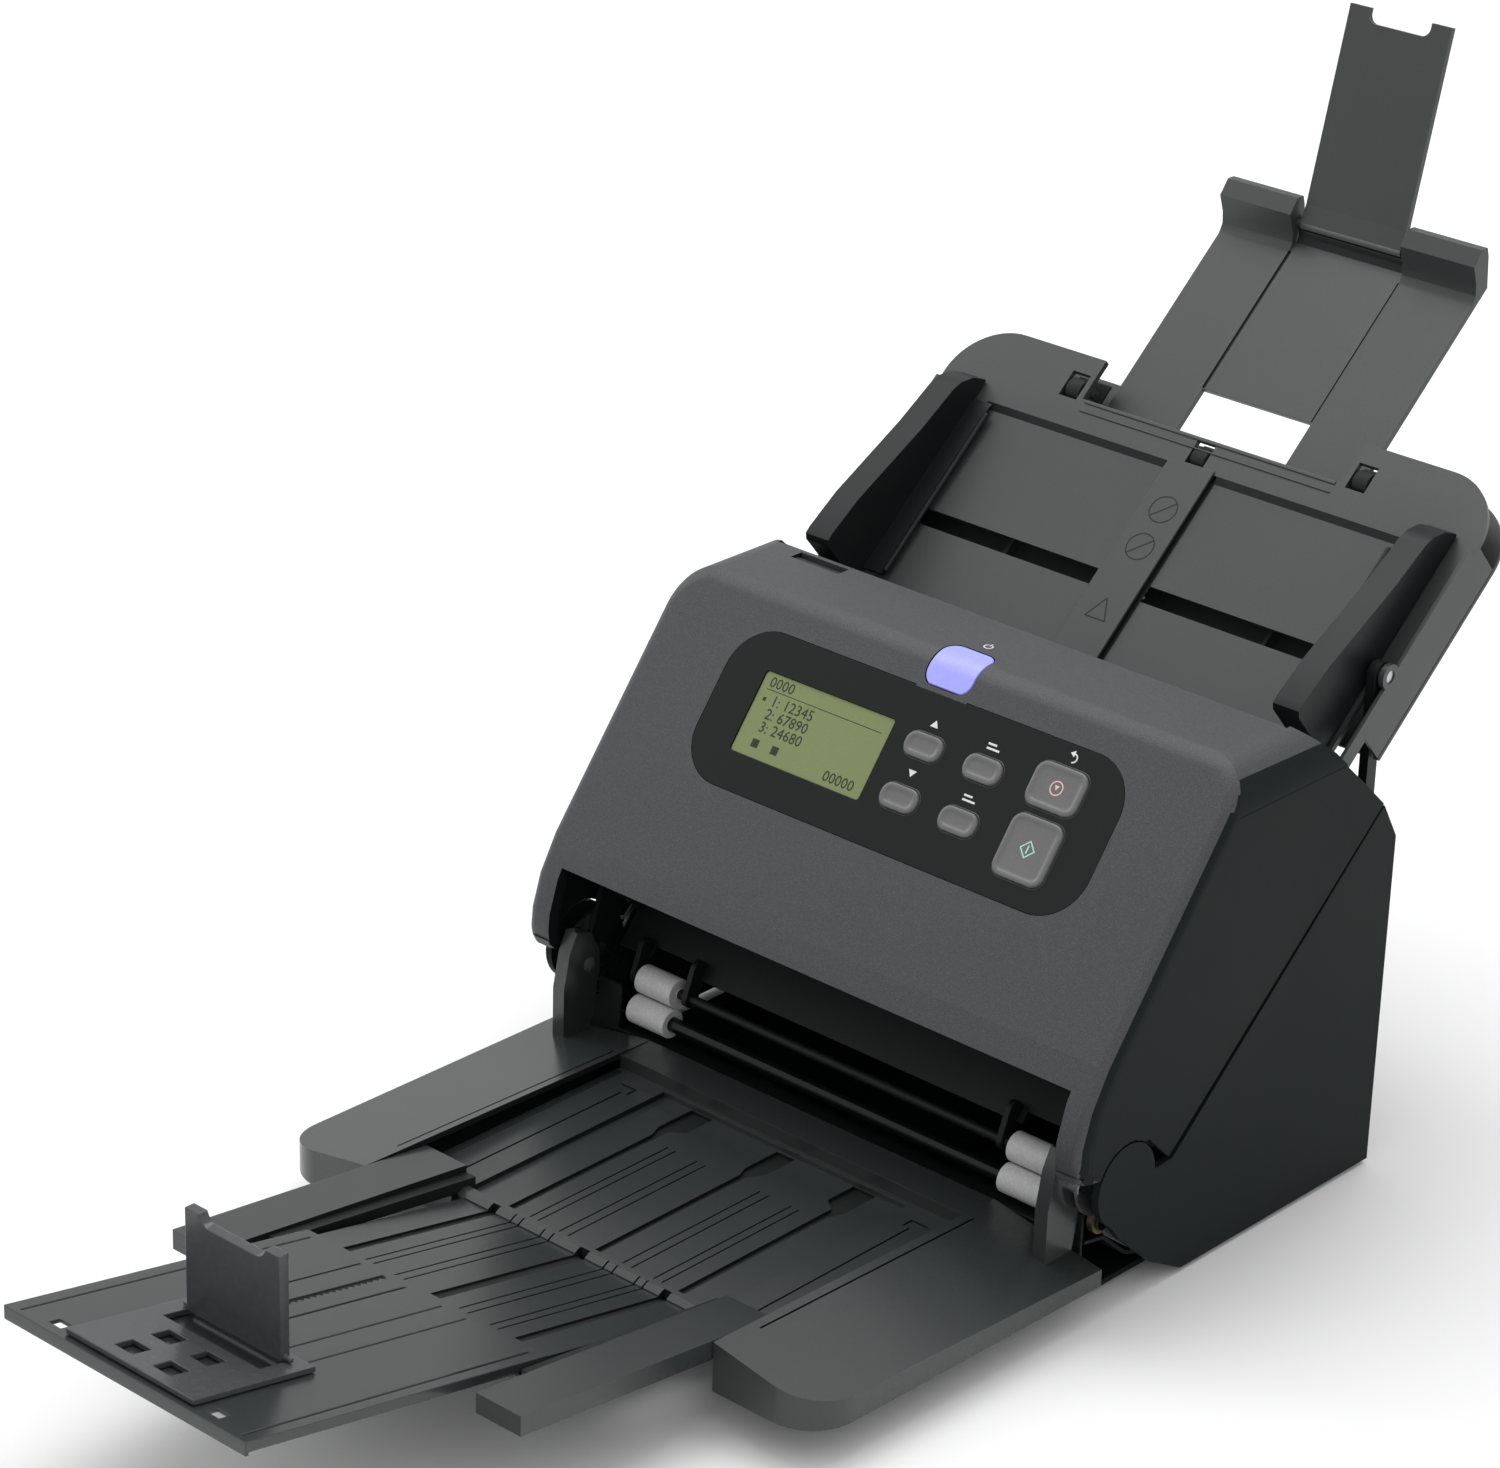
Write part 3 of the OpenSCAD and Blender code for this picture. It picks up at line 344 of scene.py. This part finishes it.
def soften(obj, width, segments=2, angle=28, clamp=True):
    """Cleans flat areas and rounds the sharp edges, so that they catch light as moulded edges do."""
    bm = bmesh.new()
    bm.from_mesh(obj.data)
    bmesh.ops.remove_doubles(bm, verts=bm.verts, dist=0.02 * MM)
    bmesh.ops.dissolve_limit(bm, angle_limit=math.radians(0.6), verts=bm.verts, edges=bm.edges)
    for face in bm.faces:
        face.smooth = True
    bm.to_mesh(obj.data)
    bm.free()
    mod = obj.modifiers.new("round", "BEVEL")
    mod.width = width
    mod.segments = segments
    mod.limit_method = "ANGLE"
    mod.angle_limit = math.radians(angle)
    mod.use_clamp_overlap = clamp
    obj.modifiers.new("normals", "WEIGHTED_NORMAL").keep_sharp = True
    apply_all(obj)
    return obj


def flat_faces(obj, area):
    """Shades the faces above this many square millimetres flat, so that the rounding can't tint them."""
    mesh = obj.data
    if "custom_normal" in mesh.attributes:
        mesh.attributes.remove(mesh.attributes["custom_normal"])
    for face in mesh.polygons:
        face.use_smooth = face.area < area * MM * MM
    return obj


def copy_of(node, name=None):
    """A new piece with the shape of a CAD node, its corners welded."""
    obj = bpy.data.objects.new(name or node + "_skin", NODES[node].data.copy())
    bpy.context.scene.collection.objects.link(obj)
    bm = bmesh.new()
    bm.from_mesh(obj.data)
    bmesh.ops.remove_doubles(bm, verts=bm.verts, dist=0.01 * MM)
    bm.to_mesh(obj.data)
    bm.free()
    return obj


def paint(obj, rule, material="inner_black"):
    """Gives a material to the faces that rule(centre in millimetres, normal) picks."""
    obj.data.materials.append(MATERIALS[material])
    last = len(obj.data.materials) - 1
    for face in obj.data.polygons:
        if rule(face.center / MM, face.normal):
            face.material_index = last
    return obj


def finish_piece(obj, node, material):
    """Hangs a finished piece on the body of a CAD node, in place of that node."""
    obj.data.materials[0] = MATERIALS[material]
    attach(obj, BODY_OF[node])
    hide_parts(node)
    return obj


def make_skins(rows):
    """Softened copies of CAD nodes, from rows of node, edge radius in millimetres, steps and material."""
    for node, radius, segments, material in rows:
        finish_piece(soften(copy_of(node), radius * MM, segments), node, material)


def detail(obj, node):
    """A small extra piece that moves with the body of a CAD node."""
    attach(obj, BODY_OF[node])
    return obj


# ---------------------------------------------------------------- slopes that the pieces follow
JOINTS = {j["name"]: j for j in frame["joints"]}
FACE_TILT = math.radians(52.4)
RIDGE_Y = 76.5 * MM
FACE = frame_at(RIDGE_Y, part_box("front_cover")[1].z, FACE_TILT)
TRAY_TILT = math.radians(40.8)
HINGE_ABOVE = 4 * MM
_hinge = JOINTS["feed_tray_fold"]["pos_m"]
TRAY = frame_at(_hinge[1] + HINGE_ABOVE * math.sin(TRAY_TILT),
                _hinge[2] - HINGE_ABOVE * math.cos(TRAY_TILT), TRAY_TILT)
SHEET_TILT = math.atan(0.1985)
_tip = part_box("eject_extension_2")
TIP_Y = _tip[0].y
TIP_Z = (45.9 - 0.1985 * (TIP_Y / MM + 228)) * MM
SHEET = frame_at(TIP_Y, TIP_Z, -SHEET_TILT)


def mm(*values):
    return [v * MM for v in values]


def mbox(name, low, high, place=Matrix.Identity(4), material="inner_black"):
    """block() with its corners in millimetres."""
    return block(name, mm(*low), mm(*high), place, material)


def groove(points, low, high, place=Matrix.Identity(4), material="inner_black"):
    """Cutter that leaves its own colour behind, black by default as painted shade inside the groove: an outline in
    millimetres between two heights.
    """
    return prism("cut", [mm(*p) for p in points], low * MM, high * MM, "Z", place, material)


# A straight groove, black inside by default as painted shade.
def bar_cut(x, y, low, high, place=Matrix.Identity(4), material="inner_black"):
    return groove([(x[0], y[0]), (x[1], y[0]), (x[1], y[1]), (x[0], y[1])], low, high, place, material)


def both_sides(points):
    """An outline and its mirror image across the middle plane."""
    return [points, [(-x, y) for x, y in points][::-1]]


# ---------------------------------------------------------------- front unit
def hull_outline(points, grow):
    """Outline around all points, pushed out a little from their middle."""
    ring = [Vector(points[i]) for i in convex_hull_2d(points)]
    middle = sum(ring, Vector((0, 0))) / len(ring)
    return [tuple(p + (p - middle).normalized() * grow) for p in ring]


def round_body():
    """Body that trims the front unit: its side and front outlines together, with rounded edges."""
    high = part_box("front_cover")[1]
    slack = 0.03 * MM
    points = [(v.co.y, v.co.z) for v in NODES["front_cover"].data.vertices]
    points += [(high.y + 80 * MM, high.z), (high.y + 80 * MM, -50 * MM)]
    half = high.x + slack
    body = prism("round_body", hull_outline(points, slack), -half, half, "X", material="front_grey")
    upright = Matrix.Rotation(math.radians(90), 4, "X")
    front = round_outline(2 * half + slack, 2 * (high.z + slack), 17 * MM, steps=10)
    boolean(body, [prism("front", front, -0.3, 0.3, "Z", upright, "front_grey")], "INTERSECT")
    return soften(body, 5.5 * MM, 6, 24, False)


def trim(obj, body):
    """Keeps the part of obj inside a copy of body."""
    mould = bpy.data.objects.new("mould", body.data.copy())
    bpy.context.scene.collection.objects.link(mould)
    return boolean(obj, [mould], "INTERSECT", True)


RIDGE = frame_at(RIDGE_Y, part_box("front_cover")[1].z, FACE_TILT / 2)
POWER_X = 1.5


def power_outline(grow):
    """Rounded plan of the power button, seen square to the ridge, in metres."""
    return round_outline((22 + 2 * grow) * MM, (21 + 2 * grow) * MM, (5 + grow) * MM,
                         (POWER_X * MM, -0.4 * MM))


def one_colour(obj):
    for face in obj.data.polygons:
        face.material_index = 0
    return obj


def make_cover():
    body = round_body()
    plug = mbox("plug", (POWER_X - 12.4, -13.2, -12), (POWER_X + 12.4, 12.6, 2), RIDGE, "front_grey")
    slot = prism("slot", power_outline(0.5), -16 * MM, 5 * MM, "Z", RIDGE, "inner_black")
    cover = boolean(copy_of("front_cover"), [plug], "UNION", True)
    cover = boolean(trim(cover, body), [slot], "DIFFERENCE", True)
    paint(cover, lambda c, n: abs(n.x) > 0.72, "housing_dark")
    finish_piece(soften(cover, 0.5 * MM, 2, 30), "front_cover", "front_grey")
    finish_piece(soften(trim(copy_of("side_panels"), body), 0.4 * MM, 2), "side_panels", "housing_dark")
    plan = prism("plan", power_outline(0), -20 * MM, 5 * MM, "Z", RIDGE)
    button = boolean(trim(copy_of("power_button"), body), [plan], "INTERSECT", True)
    finish_piece(soften(one_colour(button), 0.7 * MM, 3, 24), "power_button", "power_violet")
    bpy.data.objects.remove(body)


KEY_SIZES = {"stop": (24, 17.9, 5), "start": (23.7, 25.4, 5)}
SMALL_KEY = (17.5, 10, 4.5)
# distance in from the outline and height above the panel, from the skirt up over the rim into the dish
KEY_RINGS = ((0, -2.2), (0, 0.8), (0.15, 1.18), (0.45, 1.42), (0.9, 1.5), (1.5, 1.5), (1.9, 1.4),
             (2.3, 1.15), (2.9, 0.98), (3.6, 0.9))
DISH_LEVEL = 0.97


def stack(name, rings, place, material, hollow=False):
    """A closed shell over rings of equal length, each a list of X-Y points and a height.

    A hollow one has no end faces: its last ring meets its first."""
    bm = bmesh.new()
    rows = [[bm.verts.new(place @ Vector((x, y, z))) for x, y in ring] for ring, z in rings]
    count = len(rows[0])
    pairs = list(zip(rows, rows[1:]))
    if hollow:
        pairs.append((rows[-1], rows[0]))
    else:
        bm.faces.new(rows[0][::-1])
        bm.faces.new(rows[-1])
    for low, high in pairs:
        for i in range(count):
            j = (i + 1) % count
            bm.faces.new((low[i], low[j], high[j], high[i]))
    for face in bm.faces:
        face.smooth = True
    return to_object(name, bm, material)


def make_keys():
    """Keys with a rounded rim about a shallow dish."""
    for name in ("up", "down", "menu", "ok", "stop", "start"):
        node = "button_" + name
        wide, tall, corner = KEY_SIZES.get(name, SMALL_KEY)
        low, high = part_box(node)
        middle = FACE.inverted() @ Vector((0, (low.y + high.y) / 2, (low.z + high.z) / 2))
        centre = ((low.x + high.x) / 2, middle.y)
        rings = []
        for inset, level in KEY_RINGS:
            size = [(v - 2 * inset) * MM for v in (wide, tall)]
            rings.append((round_outline(*size, max(0.6, corner - inset) * MM, centre, 7), level * MM))
        finish_piece(stack(node + "_skin", rings, FACE, "key_grey"), node, "key_grey")
        rim = round_outline((wide + 1.3) * MM, (tall + 1.3) * MM, (corner + 0.6) * MM, centre, 7)
        inner = round_outline((wide + 0.2) * MM, (tall + 0.2) * MM, (corner + 0.1) * MM, centre, 7)
        detail(stack(node + "_rim", [(inner, -0.6 * MM), (rim, -0.6 * MM), (rim, 0.03 * MM),
                                     (inner, 0.03 * MM)], FACE, "key_rim", True), "panel_bezel")


KEY_X = {"up": 5.0, "menu": 33.8, "stop": 67.5}


def print_on_face(name, outline, node, material="print_white", level=0.06):
    points = [(x * MM, -s * MM) for x, s in outline]
    return detail(prism(name, points, (level - 0.05) * MM, level * MM, "Z", FACE, material), node)


def arc_band(centre, radius, width, start, end, steps=14):
    """Outline of a bent stroke, in degrees from +X."""
    angles = [math.radians(start + (end - start) * i / steps) for i in range(steps + 1)]
    edges = []
    for reach in (radius + width / 2, radius - width / 2):
        edges.append([(centre[0] + reach * math.cos(a), centre[1] + reach * math.sin(a)) for a in angles])
    return edges[0] + edges[1][::-1]


def make_panel_marks():
    """Generic marks over the keys: arrows, pairs of bars and a bent arrow."""
    x = KEY_X["up"]
    print_on_face("mark_up", [(x - 1.9, 27.2), (x + 1.9, 27.2), (x, 24.4)], "panel_bezel")
    print_on_face("mark_down", [(x - 1.9, 45.2), (x, 48.0), (x + 1.9, 45.2)], "panel_bezel")
    x = KEY_X["menu"]
    for i, node in enumerate(("menu", "ok")):
        row = 27.0 + 21.3 * i
        print_on_face("mark_bar_%d" % i, [(x - 3, row - 0.4), (x + 3, row - 0.4), (x + 3, row + 0.4),
                                         (x - 3, row + 0.4)], "panel_bezel")
        print_on_face("mark_bar_low_%d" % i, [(x - 3, row - 2.2), (x + 1, row - 2.2), (x + 1, row - 1.4),
                                             (x - 3, row - 1.4)], "panel_bezel")
    x = KEY_X["stop"]
    print_on_face("mark_back", arc_band((x + 0.4, 19.2), 1.7, 0.55, -90, 90), "panel_bezel")
    print_on_face("mark_back_tip", [(x + 0.4, 16.2), (x + 0.4, 18.8), (x - 1.6, 17.5)], "panel_bezel")


def make_key_marks():
    """A ring on one large key and a diamond on the other."""
    x = KEY_X["stop"]
    print_on_face("mark_stop", arc_band((x, 32), 2.7, 0.5, 0, 359, 28), "button_stop",
                  "print_pink", DISH_LEVEL)
    print_on_face("mark_stop_bar", [(x - 1.1, 30.9), (x + 1.1, 30.9), (x, 32.9)], "button_stop",
                  "print_pink", DISH_LEVEL)
    outer, inner = 3.6, 2.9
    tips = [(1, 0), (0, 1), (-1, 0), (0, -1)]
    for k, (a, b) in enumerate(zip(tips, tips[1:] + tips[:1])):
        side = [(x + a[0] * outer, 57 + a[1] * outer), (x + b[0] * outer, 57 + b[1] * outer),
                (x + b[0] * inner, 57 + b[1] * inner), (x + a[0] * inner, 57 + a[1] * inner)]
        print_on_face("mark_start_%d" % k, side, "button_start", "print_mint", DISH_LEVEL)
    print_on_face("mark_start_bar", [(x - 0.3, 55.4), (x + 0.3, 55.4), (x + 0.3, 58.6), (x - 0.3, 58.6)],
                  "button_start", "print_mint", DISH_LEVEL)


def make_power_mark():
    """An open ring with a bar, printed on the top behind the power button."""
    ring = arc_band((POWER_X, 94.5), 1.7, 0.5, 120, 420, 24)
    low, high = (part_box("front_cover")[1].z / MM + lift for lift in (-0.01, 0.04))
    detail(prism("mark_power", [mm(*p) for p in ring], low * MM, high * MM, material="print_white"),
           "front_cover")
    detail(mbox("mark_power_bar", (POWER_X - 0.25, 95.2, low), (POWER_X + 0.25, 97.2, high),
                material="print_white"), "front_cover")


def digits(name, text, x, s, size, material="lcd_ink"):
    """Digits on the screen, x and s in millimetres from the middle and from the ridge."""
    curve = bpy.data.curves.new(name, "FONT")
    curve.body = text
    curve.size = size * MM
    curve.resolution_u = 2
    curve.extrude = 0.02 * MM
    obj = bpy.data.objects.new(name, curve)
    bpy.context.scene.collection.objects.link(obj)
    obj.matrix_world = FACE @ Matrix.Translation((x * MM, -s * MM, -0.55 * MM))
    bpy.context.view_layer.update()
    graph = bpy.context.evaluated_depsgraph_get()
    mesh = bpy.data.meshes.new_from_object(obj.evaluated_get(graph), depsgraph=graph)
    mesh.transform(obj.matrix_world)
    solid = bpy.data.objects.new(name, mesh)
    bpy.context.scene.collection.objects.link(solid)
    bpy.data.objects.remove(obj)
    solid.data.materials.clear()
    solid.data.materials.append(MATERIALS[material])
    return detail(solid, "lcd_screen")


def make_screen():
    rows = (("0000", -74.5, 35.4), ("1: 12345", -70, 42.3), ("2: 67890", -70, 47.7),
            ("3: 24680", -70, 53.1))
    for i, (text, x, down) in enumerate(rows):
        digits("lcd_row_%d" % i, text, x, down, 6.2)
    digits("lcd_count", "00000", -32.5, 61.5, 6.2)
    flat = (("lcd_line", -74.5, -16, 36.6, 0.3), ("lcd_icon_a", -70, -66.6, 59.6, 3.4),
            ("lcd_icon_b", -60, -56.6, 59.6, 3.4), ("lcd_pointer", -74.3, -72.8, 41.3, 1.5))
    for name, left, right, down, tall in flat:
        detail(mbox(name, (left, -down, -0.6), (right, tall - down, -0.56), FACE, "lcd_ink"),
               "lcd_screen")
    finish_piece(soften(copy_of("lcd_screen"), 0.2 * MM), "lcd_screen", "lcd")


def make_front():
    make_cover()
    make_skins((("panel_bezel", 0.45, 3, "panel_black"), ("open_lever", 0.3, 2, "guide_dark"),
                ("unit_frame", 0.3, 2, "inner_black"), ("upper_chute", 0.3, 2, "inner_black"),
                ("upper_sensor", 0.3, 2, "inner_black")))
    make_keys()
    make_panel_marks()
    make_key_marks()
    make_power_mark()
    make_screen()


# ---------------------------------------------------------------- housing
def make_housing():
    make_skins((("side_covers", 1.1, 3, "housing_dark"), ("rear_cover", 0.6, 2, "housing_dark"),
                ("base_plate", 0.6, 2, "housing_dark"), ("lower_chute", 0.2, 1, "inner_black"),
                ("tray_arms", 0.5, 2, "guide_dark"), ("rubber_feet", 0.5, 2, "rubber"),
                ("eject_rollers", 0.4, 2, "white_roll")))
    pinch = soften(copy_of("eject_pinch_rollers"), 0.4 * MM, 2)
    # Painted shade: the shaft beside and beyond the pinch rollers is black, for the dark inside of the exit.
    paint(pinch, lambda c, n: not 84.8 < abs(c.x) < 105.2)
    finish_piece(pinch, "eject_pinch_rollers", "white_roll")
    make_skins((("eject_shaft", 0.4, 2, "panel_black"),))
    make_mouth_shade()


def make_mouth_shade():
    """Black plates as painted shade, closing the housing round and below the exit rollers where the inside lies in
    shadow.
    """
    detail(soften(mbox("mouth_shade_sill", (-127, 9.5, 14), (127, 10.9, 26.4)), 0.3 * MM), "base_plate")
    belly = [(10.9, 26.2), (22, 24.3), (36, 12.2), (56, 4.4), (56, 3.4), (35.4, 10.9), (21.6, 22.9),
             (10.9, 25)]
    detail(prism("belly", [mm(*p) for p in belly], -0.128, 0.128, "X"), "base_plate")
    for sx in (-1, 1):
        span = sorted((sx * 107, sx * 118.4))
        detail(mbox("mouth_shade_cheek_%d" % sx, (span[0], 9.5, 26.4), (span[1], 10.9, 46)), "base_plate")
        span = sorted((sx * 118.4, sx * 127))
        detail(mbox("mouth_shade_edge_%d" % sx, (span[0], 9.5, 26.4), (span[1], 10.9, 37.5)), "base_plate")


# ---------------------------------------------------------------- feed tray
def tray_cuts():
    """Sunk middle of the sheet surface, and black lines beside the raised strip, painted shade of the gaps along
    it.
    """
    cuts = []
    for sx in (-1, 1):
        for outline in ([(4.2, 1), (4.2, -1.4), (54, -1.4), (57, 0.02), (57, 1)],
                        [(-70, 1), (-70, -1.4), (-2.7, -1.4), (-2.7, 1)]):
            span = sorted((sx * 12.6, sx * 104))
            cuts.append(prism("cut", [mm(*p) for p in outline], span[0] * MM, span[1] * MM, "X", TRAY,
                              "tray_grey"))
    # Painted shade: black grooves for the shadowed gaps on both sides of the strip.
    cuts.append(bar_cut((11, 12.7), (-66, 57), -1.9, 1, TRAY))
    cuts.append(bar_cut((-12.7, -11.9), (-66, 57), -1.9, 1, TRAY))
    return cuts


def make_tray_marks():
    """Engraved rings with a bar and a triangle on the raised strip, and black backs of the roller pockets as
    painted shade.
    """
    marks = []
    for s in (36, 18):
        marks.append(arc_band((0, s), 6.0, 0.5, 0, 359, 36))
        marks.append([(-4.3, s - 3.9), (-3.9, s - 4.3), (4.3, s + 3.9), (3.9, s + 4.3)])
    marks += [[(-5, -17), (5, -17), (5, -16.4), (-5, -16.4)],
              [(-5, -16.4), (-4.4, -16.4), (0.3, -7), (-0.3, -7)],
              [(4.4, -16.4), (5, -16.4), (0.3, -7), (-0.3, -7)]]
    for k, outline in enumerate(marks):
        detail(prism("strip_mark_%d" % k, [mm(*p) for p in outline], 0.88 * MM, 0.96 * MM, "Z", TRAY,
                     "guide_dark"), "feed_tray")
    for x, s in ((-71, 75.6), (0, 63.6), (71, 75.6)):
        detail(mbox("pocket_shade_back_%d" % x, (x - 8, s - 9, -11.4), (x + 8, s + 9, -10.4), TRAY), "feed_tray")


def make_feed_tray():
    tray = boolean(copy_of("feed_tray"), tray_cuts(), "DIFFERENCE")
    finish_piece(soften(tray, 0.45 * MM, 2), "feed_tray", "tray_grey")
    detail(soften(mbox("tray_strip", (-11, -64, -0.2), (11, 58.5, 0.9), TRAY, "tray_grey"), 0.4 * MM),
           "feed_tray")
    for sx in (-1, 1):
        span = sorted((sx * 12.8, sx * 104))
        # Painted shade: a dark strip lies on the slope of the step, so that it reads darker than the flat.
        band = [(54.1, -1.36), (57, 0.0), (57, 0.06), (54.1, -1.3)]
        detail(prism("tray_step_shade_%d" % sx, [mm(*p) for p in band], span[0] * MM, span[1] * MM, "X", TRAY,
                     "guide_dark"), "feed_tray")
        rail = sorted((sx * 98.6, sx * 101))
        side = "guide_right" if sx > 0 else "guide_left"
        foot = mbox("foot_rail_%d" % sx, (rail[0], -29, 0.6), (rail[1], 51, 2.6), TRAY, "guide_dark")
        detail(soften(foot, 0.9 * MM, 3), side)
    for k, (s0, s1) in enumerate(((69.2, 70.8), (65.2, 66.0))):
        detail(soften(mbox("tray_lip_%d" % k, (-62, s0, -0.2), (62, s1, 0.5), TRAY, "tray_grey"), 0.3 * MM),
               "feed_tray")
    make_tray_marks()
    make_skins((("tray_back", 0.8, 2, "tray_grey"),))
    make_skins((("guide_left", 1.2, 3, "guide_dark"), ("guide_right", 1.2, 3, "guide_dark"),
                ("tray_roller_left", 0.5, 2, "rubber"), ("tray_roller_middle", 0.5, 2, "rubber"),
                ("tray_roller_right", 0.5, 2, "rubber")))


def flap_ring(radius, angle):
    """A point about the hinge of the flap, along and above the tray in millimetres."""
    along, above = 179, -9
    turn = math.radians(angle)
    return along + radius * math.cos(turn), above + radius * math.sin(turn)


def make_extension():
    """Sliding extension with the dark cradle behind its flap, and the flap."""
    # Painted shade: two black grooves along the sides of the middle panel of the extension.
    cuts = [bar_cut((-27.6, -26.2), (98.5, 168), -15.4, -13, TRAY),
            bar_cut((26.4, 27), (98.5, 168), -15.1, -13, TRAY)]
    extension = boolean(copy_of("feed_extension"), cuts, "DIFFERENCE", True)
    finish_piece(soften(extension, 0.7 * MM, 3), "feed_extension", "tray_grey")
    inside = [flap_ring(3.1, angle) for angle in range(228, 334, 8)]
    outside = [flap_ring(4.8, angle) for angle in range(332, 240, -8)]
    cradle = [(172.6, -16.6), (172.6, -14.6), (175.2, -13.4), (176.3, -11.9)] + inside + outside
    detail(prism("flap_cradle", [mm(*p) for p in cradle], -0.0265, 0.0265, "X", TRAY, "guide_dark"),
           "feed_extension")
    flap = flat_faces(soften(copy_of("extension_flap"), 0.4 * MM, 2), 20)
    finish_piece(flap, "extension_flap", "tray_grey")


# ---------------------------------------------------------------- eject tray
SLOT_OUTLINE = [(36, -12.2), (47, -12.2), (47, -31), (44.6, -37), (44.6, -124), (41.4, -124), (41.4, -31),
                (36, -27)]
CENTRE_OUTLINE = [(-2, -13), (7, -13), (7, -30), (3, -36), (3, -124), (0, -124), (0, -36), (-2, -31)]
FINE_LINES = (13.5, 18, 29, 33)
PAN = 23.8
FLOOR = 21.6


def tray_grooves():
    """Slots and fine lines of the recess, cut into the eject tray, their walls and floors black as painted shade.
    """
    cuts = [groove(side, FLOOR - 1.5, FLOOR + 2) for side in both_sides(SLOT_OUTLINE)]
    cuts.append(groove(CENTRE_OUTLINE, FLOOR - 1.5, FLOOR + 2))
    for x in FINE_LINES:
        for sx in (-1, 1):
            span = sorted((sx * x, sx * (x + 0.7)))
            cuts.append(bar_cut(span, (-124, -40), FLOOR - 0.7, FLOOR + 1))
    for sx in (-1, 1):
        line = sorted((sx * 91.3, sx * 92.1))
        cuts.append(bar_cut(line, (-126, -9), 28, 36))
        step = sorted((sx * 73, sx * 73.9))
        cuts.append(bar_cut(step, (-126, -24), PAN - 0.7, PAN + 1))
        hook = sorted((sx * 70, sx * 78))
        cuts.append(bar_cut(hook, (-19.5, -18.6), PAN - 0.7, PAN + 1))
        leg = sorted((sx * 70, sx * 71))
        cuts.append(bar_cut(leg, (-24, -18.6), PAN - 0.7, PAN + 1))
    return cuts


def first_sheet_grooves():
    """The same slots, carried on across the middle panel of the first extension, black inside as painted shade."""
    top = -1.9
    y_low, y_high = (v - TIP_Y / MM for v in (-212, -117))
    cuts = []
    for x0, x1 in ((41.4, 45.2), (-45.2, -41.4), (-0.5, 4.5)):
        cuts.append(bar_cut((x0, x1), (y_low, y_high), top - 1.0, top + 4, SHEET))
    for x in FINE_LINES:
        for sx in (-1, 1):
            span = sorted((sx * x, sx * (x + 0.7)))
            cuts.append(bar_cut(span, (y_low, y_high), top - 0.6, top + 4, SHEET))
    return cuts


def second_sheet_grooves():
    """Fine lines and a row of detent teeth on the second extension, cut black as painted shade."""
    y_low, y_high = 3.0, (-202 - TIP_Y / MM)
    cuts = [bar_cut((sx * 55, sx * 55 + 0.8), (y_low, y_high), -0.6, 1, SHEET) for sx in (-1, 1)]
    cuts += [bar_cut((x, x + 0.7), (58, y_high), -0.6, 1, SHEET) for x in (-29, -6, 12, 24)]
    teeth = [(-16, 58)]
    count = 26
    pitch = (y_high - 58) / count
    for i in range(count):
        teeth += [(-14.4, 58 + pitch * (i + 0.5)), (-16, 58 + pitch * (i + 1))]
    teeth += [(-17.2, y_high), (-17.2, 58)]
    cuts.append(groove(teeth, -0.8, 1, SHEET))
    return cuts


def make_eject_tray():
    tray = boolean(copy_of("eject_tray"), tray_grooves(), "DIFFERENCE")
    # Painted shade: the inner wall of the left lobe is black, and a thin black strip lies along its foot, for the
    # shadow in the recess.
    paint(tray, lambda c, n: c.x < -60 and n.x > 0.8 and c.x > -90)
    finish_piece(soften(tray, 0.7 * MM, 2), "eject_tray", "tray_gloss")
    detail(mbox("recess_shade", (-87.6, -110, PAN - 0.3), (-84.4, -12, PAN + 0.25)), "eject_tray")
    first = boolean(copy_of("eject_extension_1"), first_sheet_grooves(), "DIFFERENCE")
    # Painted shade: the slots between the middle panel and the flanges are black inside.
    paint(first, lambda c, n: 58.5 < abs(c.x) < 66.2)
    finish_piece(soften(first, 0.4 * MM, 2), "eject_extension_1", "tray_gloss")
    second = boolean(copy_of("eject_extension_2"), second_sheet_grooves(), "DIFFERENCE")
    finish_piece(soften(second, 0.3 * MM, 1), "eject_extension_2", "tray_gloss")
    make_skins((("stop_base", 0.4, 2, "stop_smoke"), ("stop_flap", 0.6, 2, "stop_smoke")))


add_camera()
add_stage()
make_front()
make_housing()
make_feed_tray()
make_extension()
make_eject_tray()
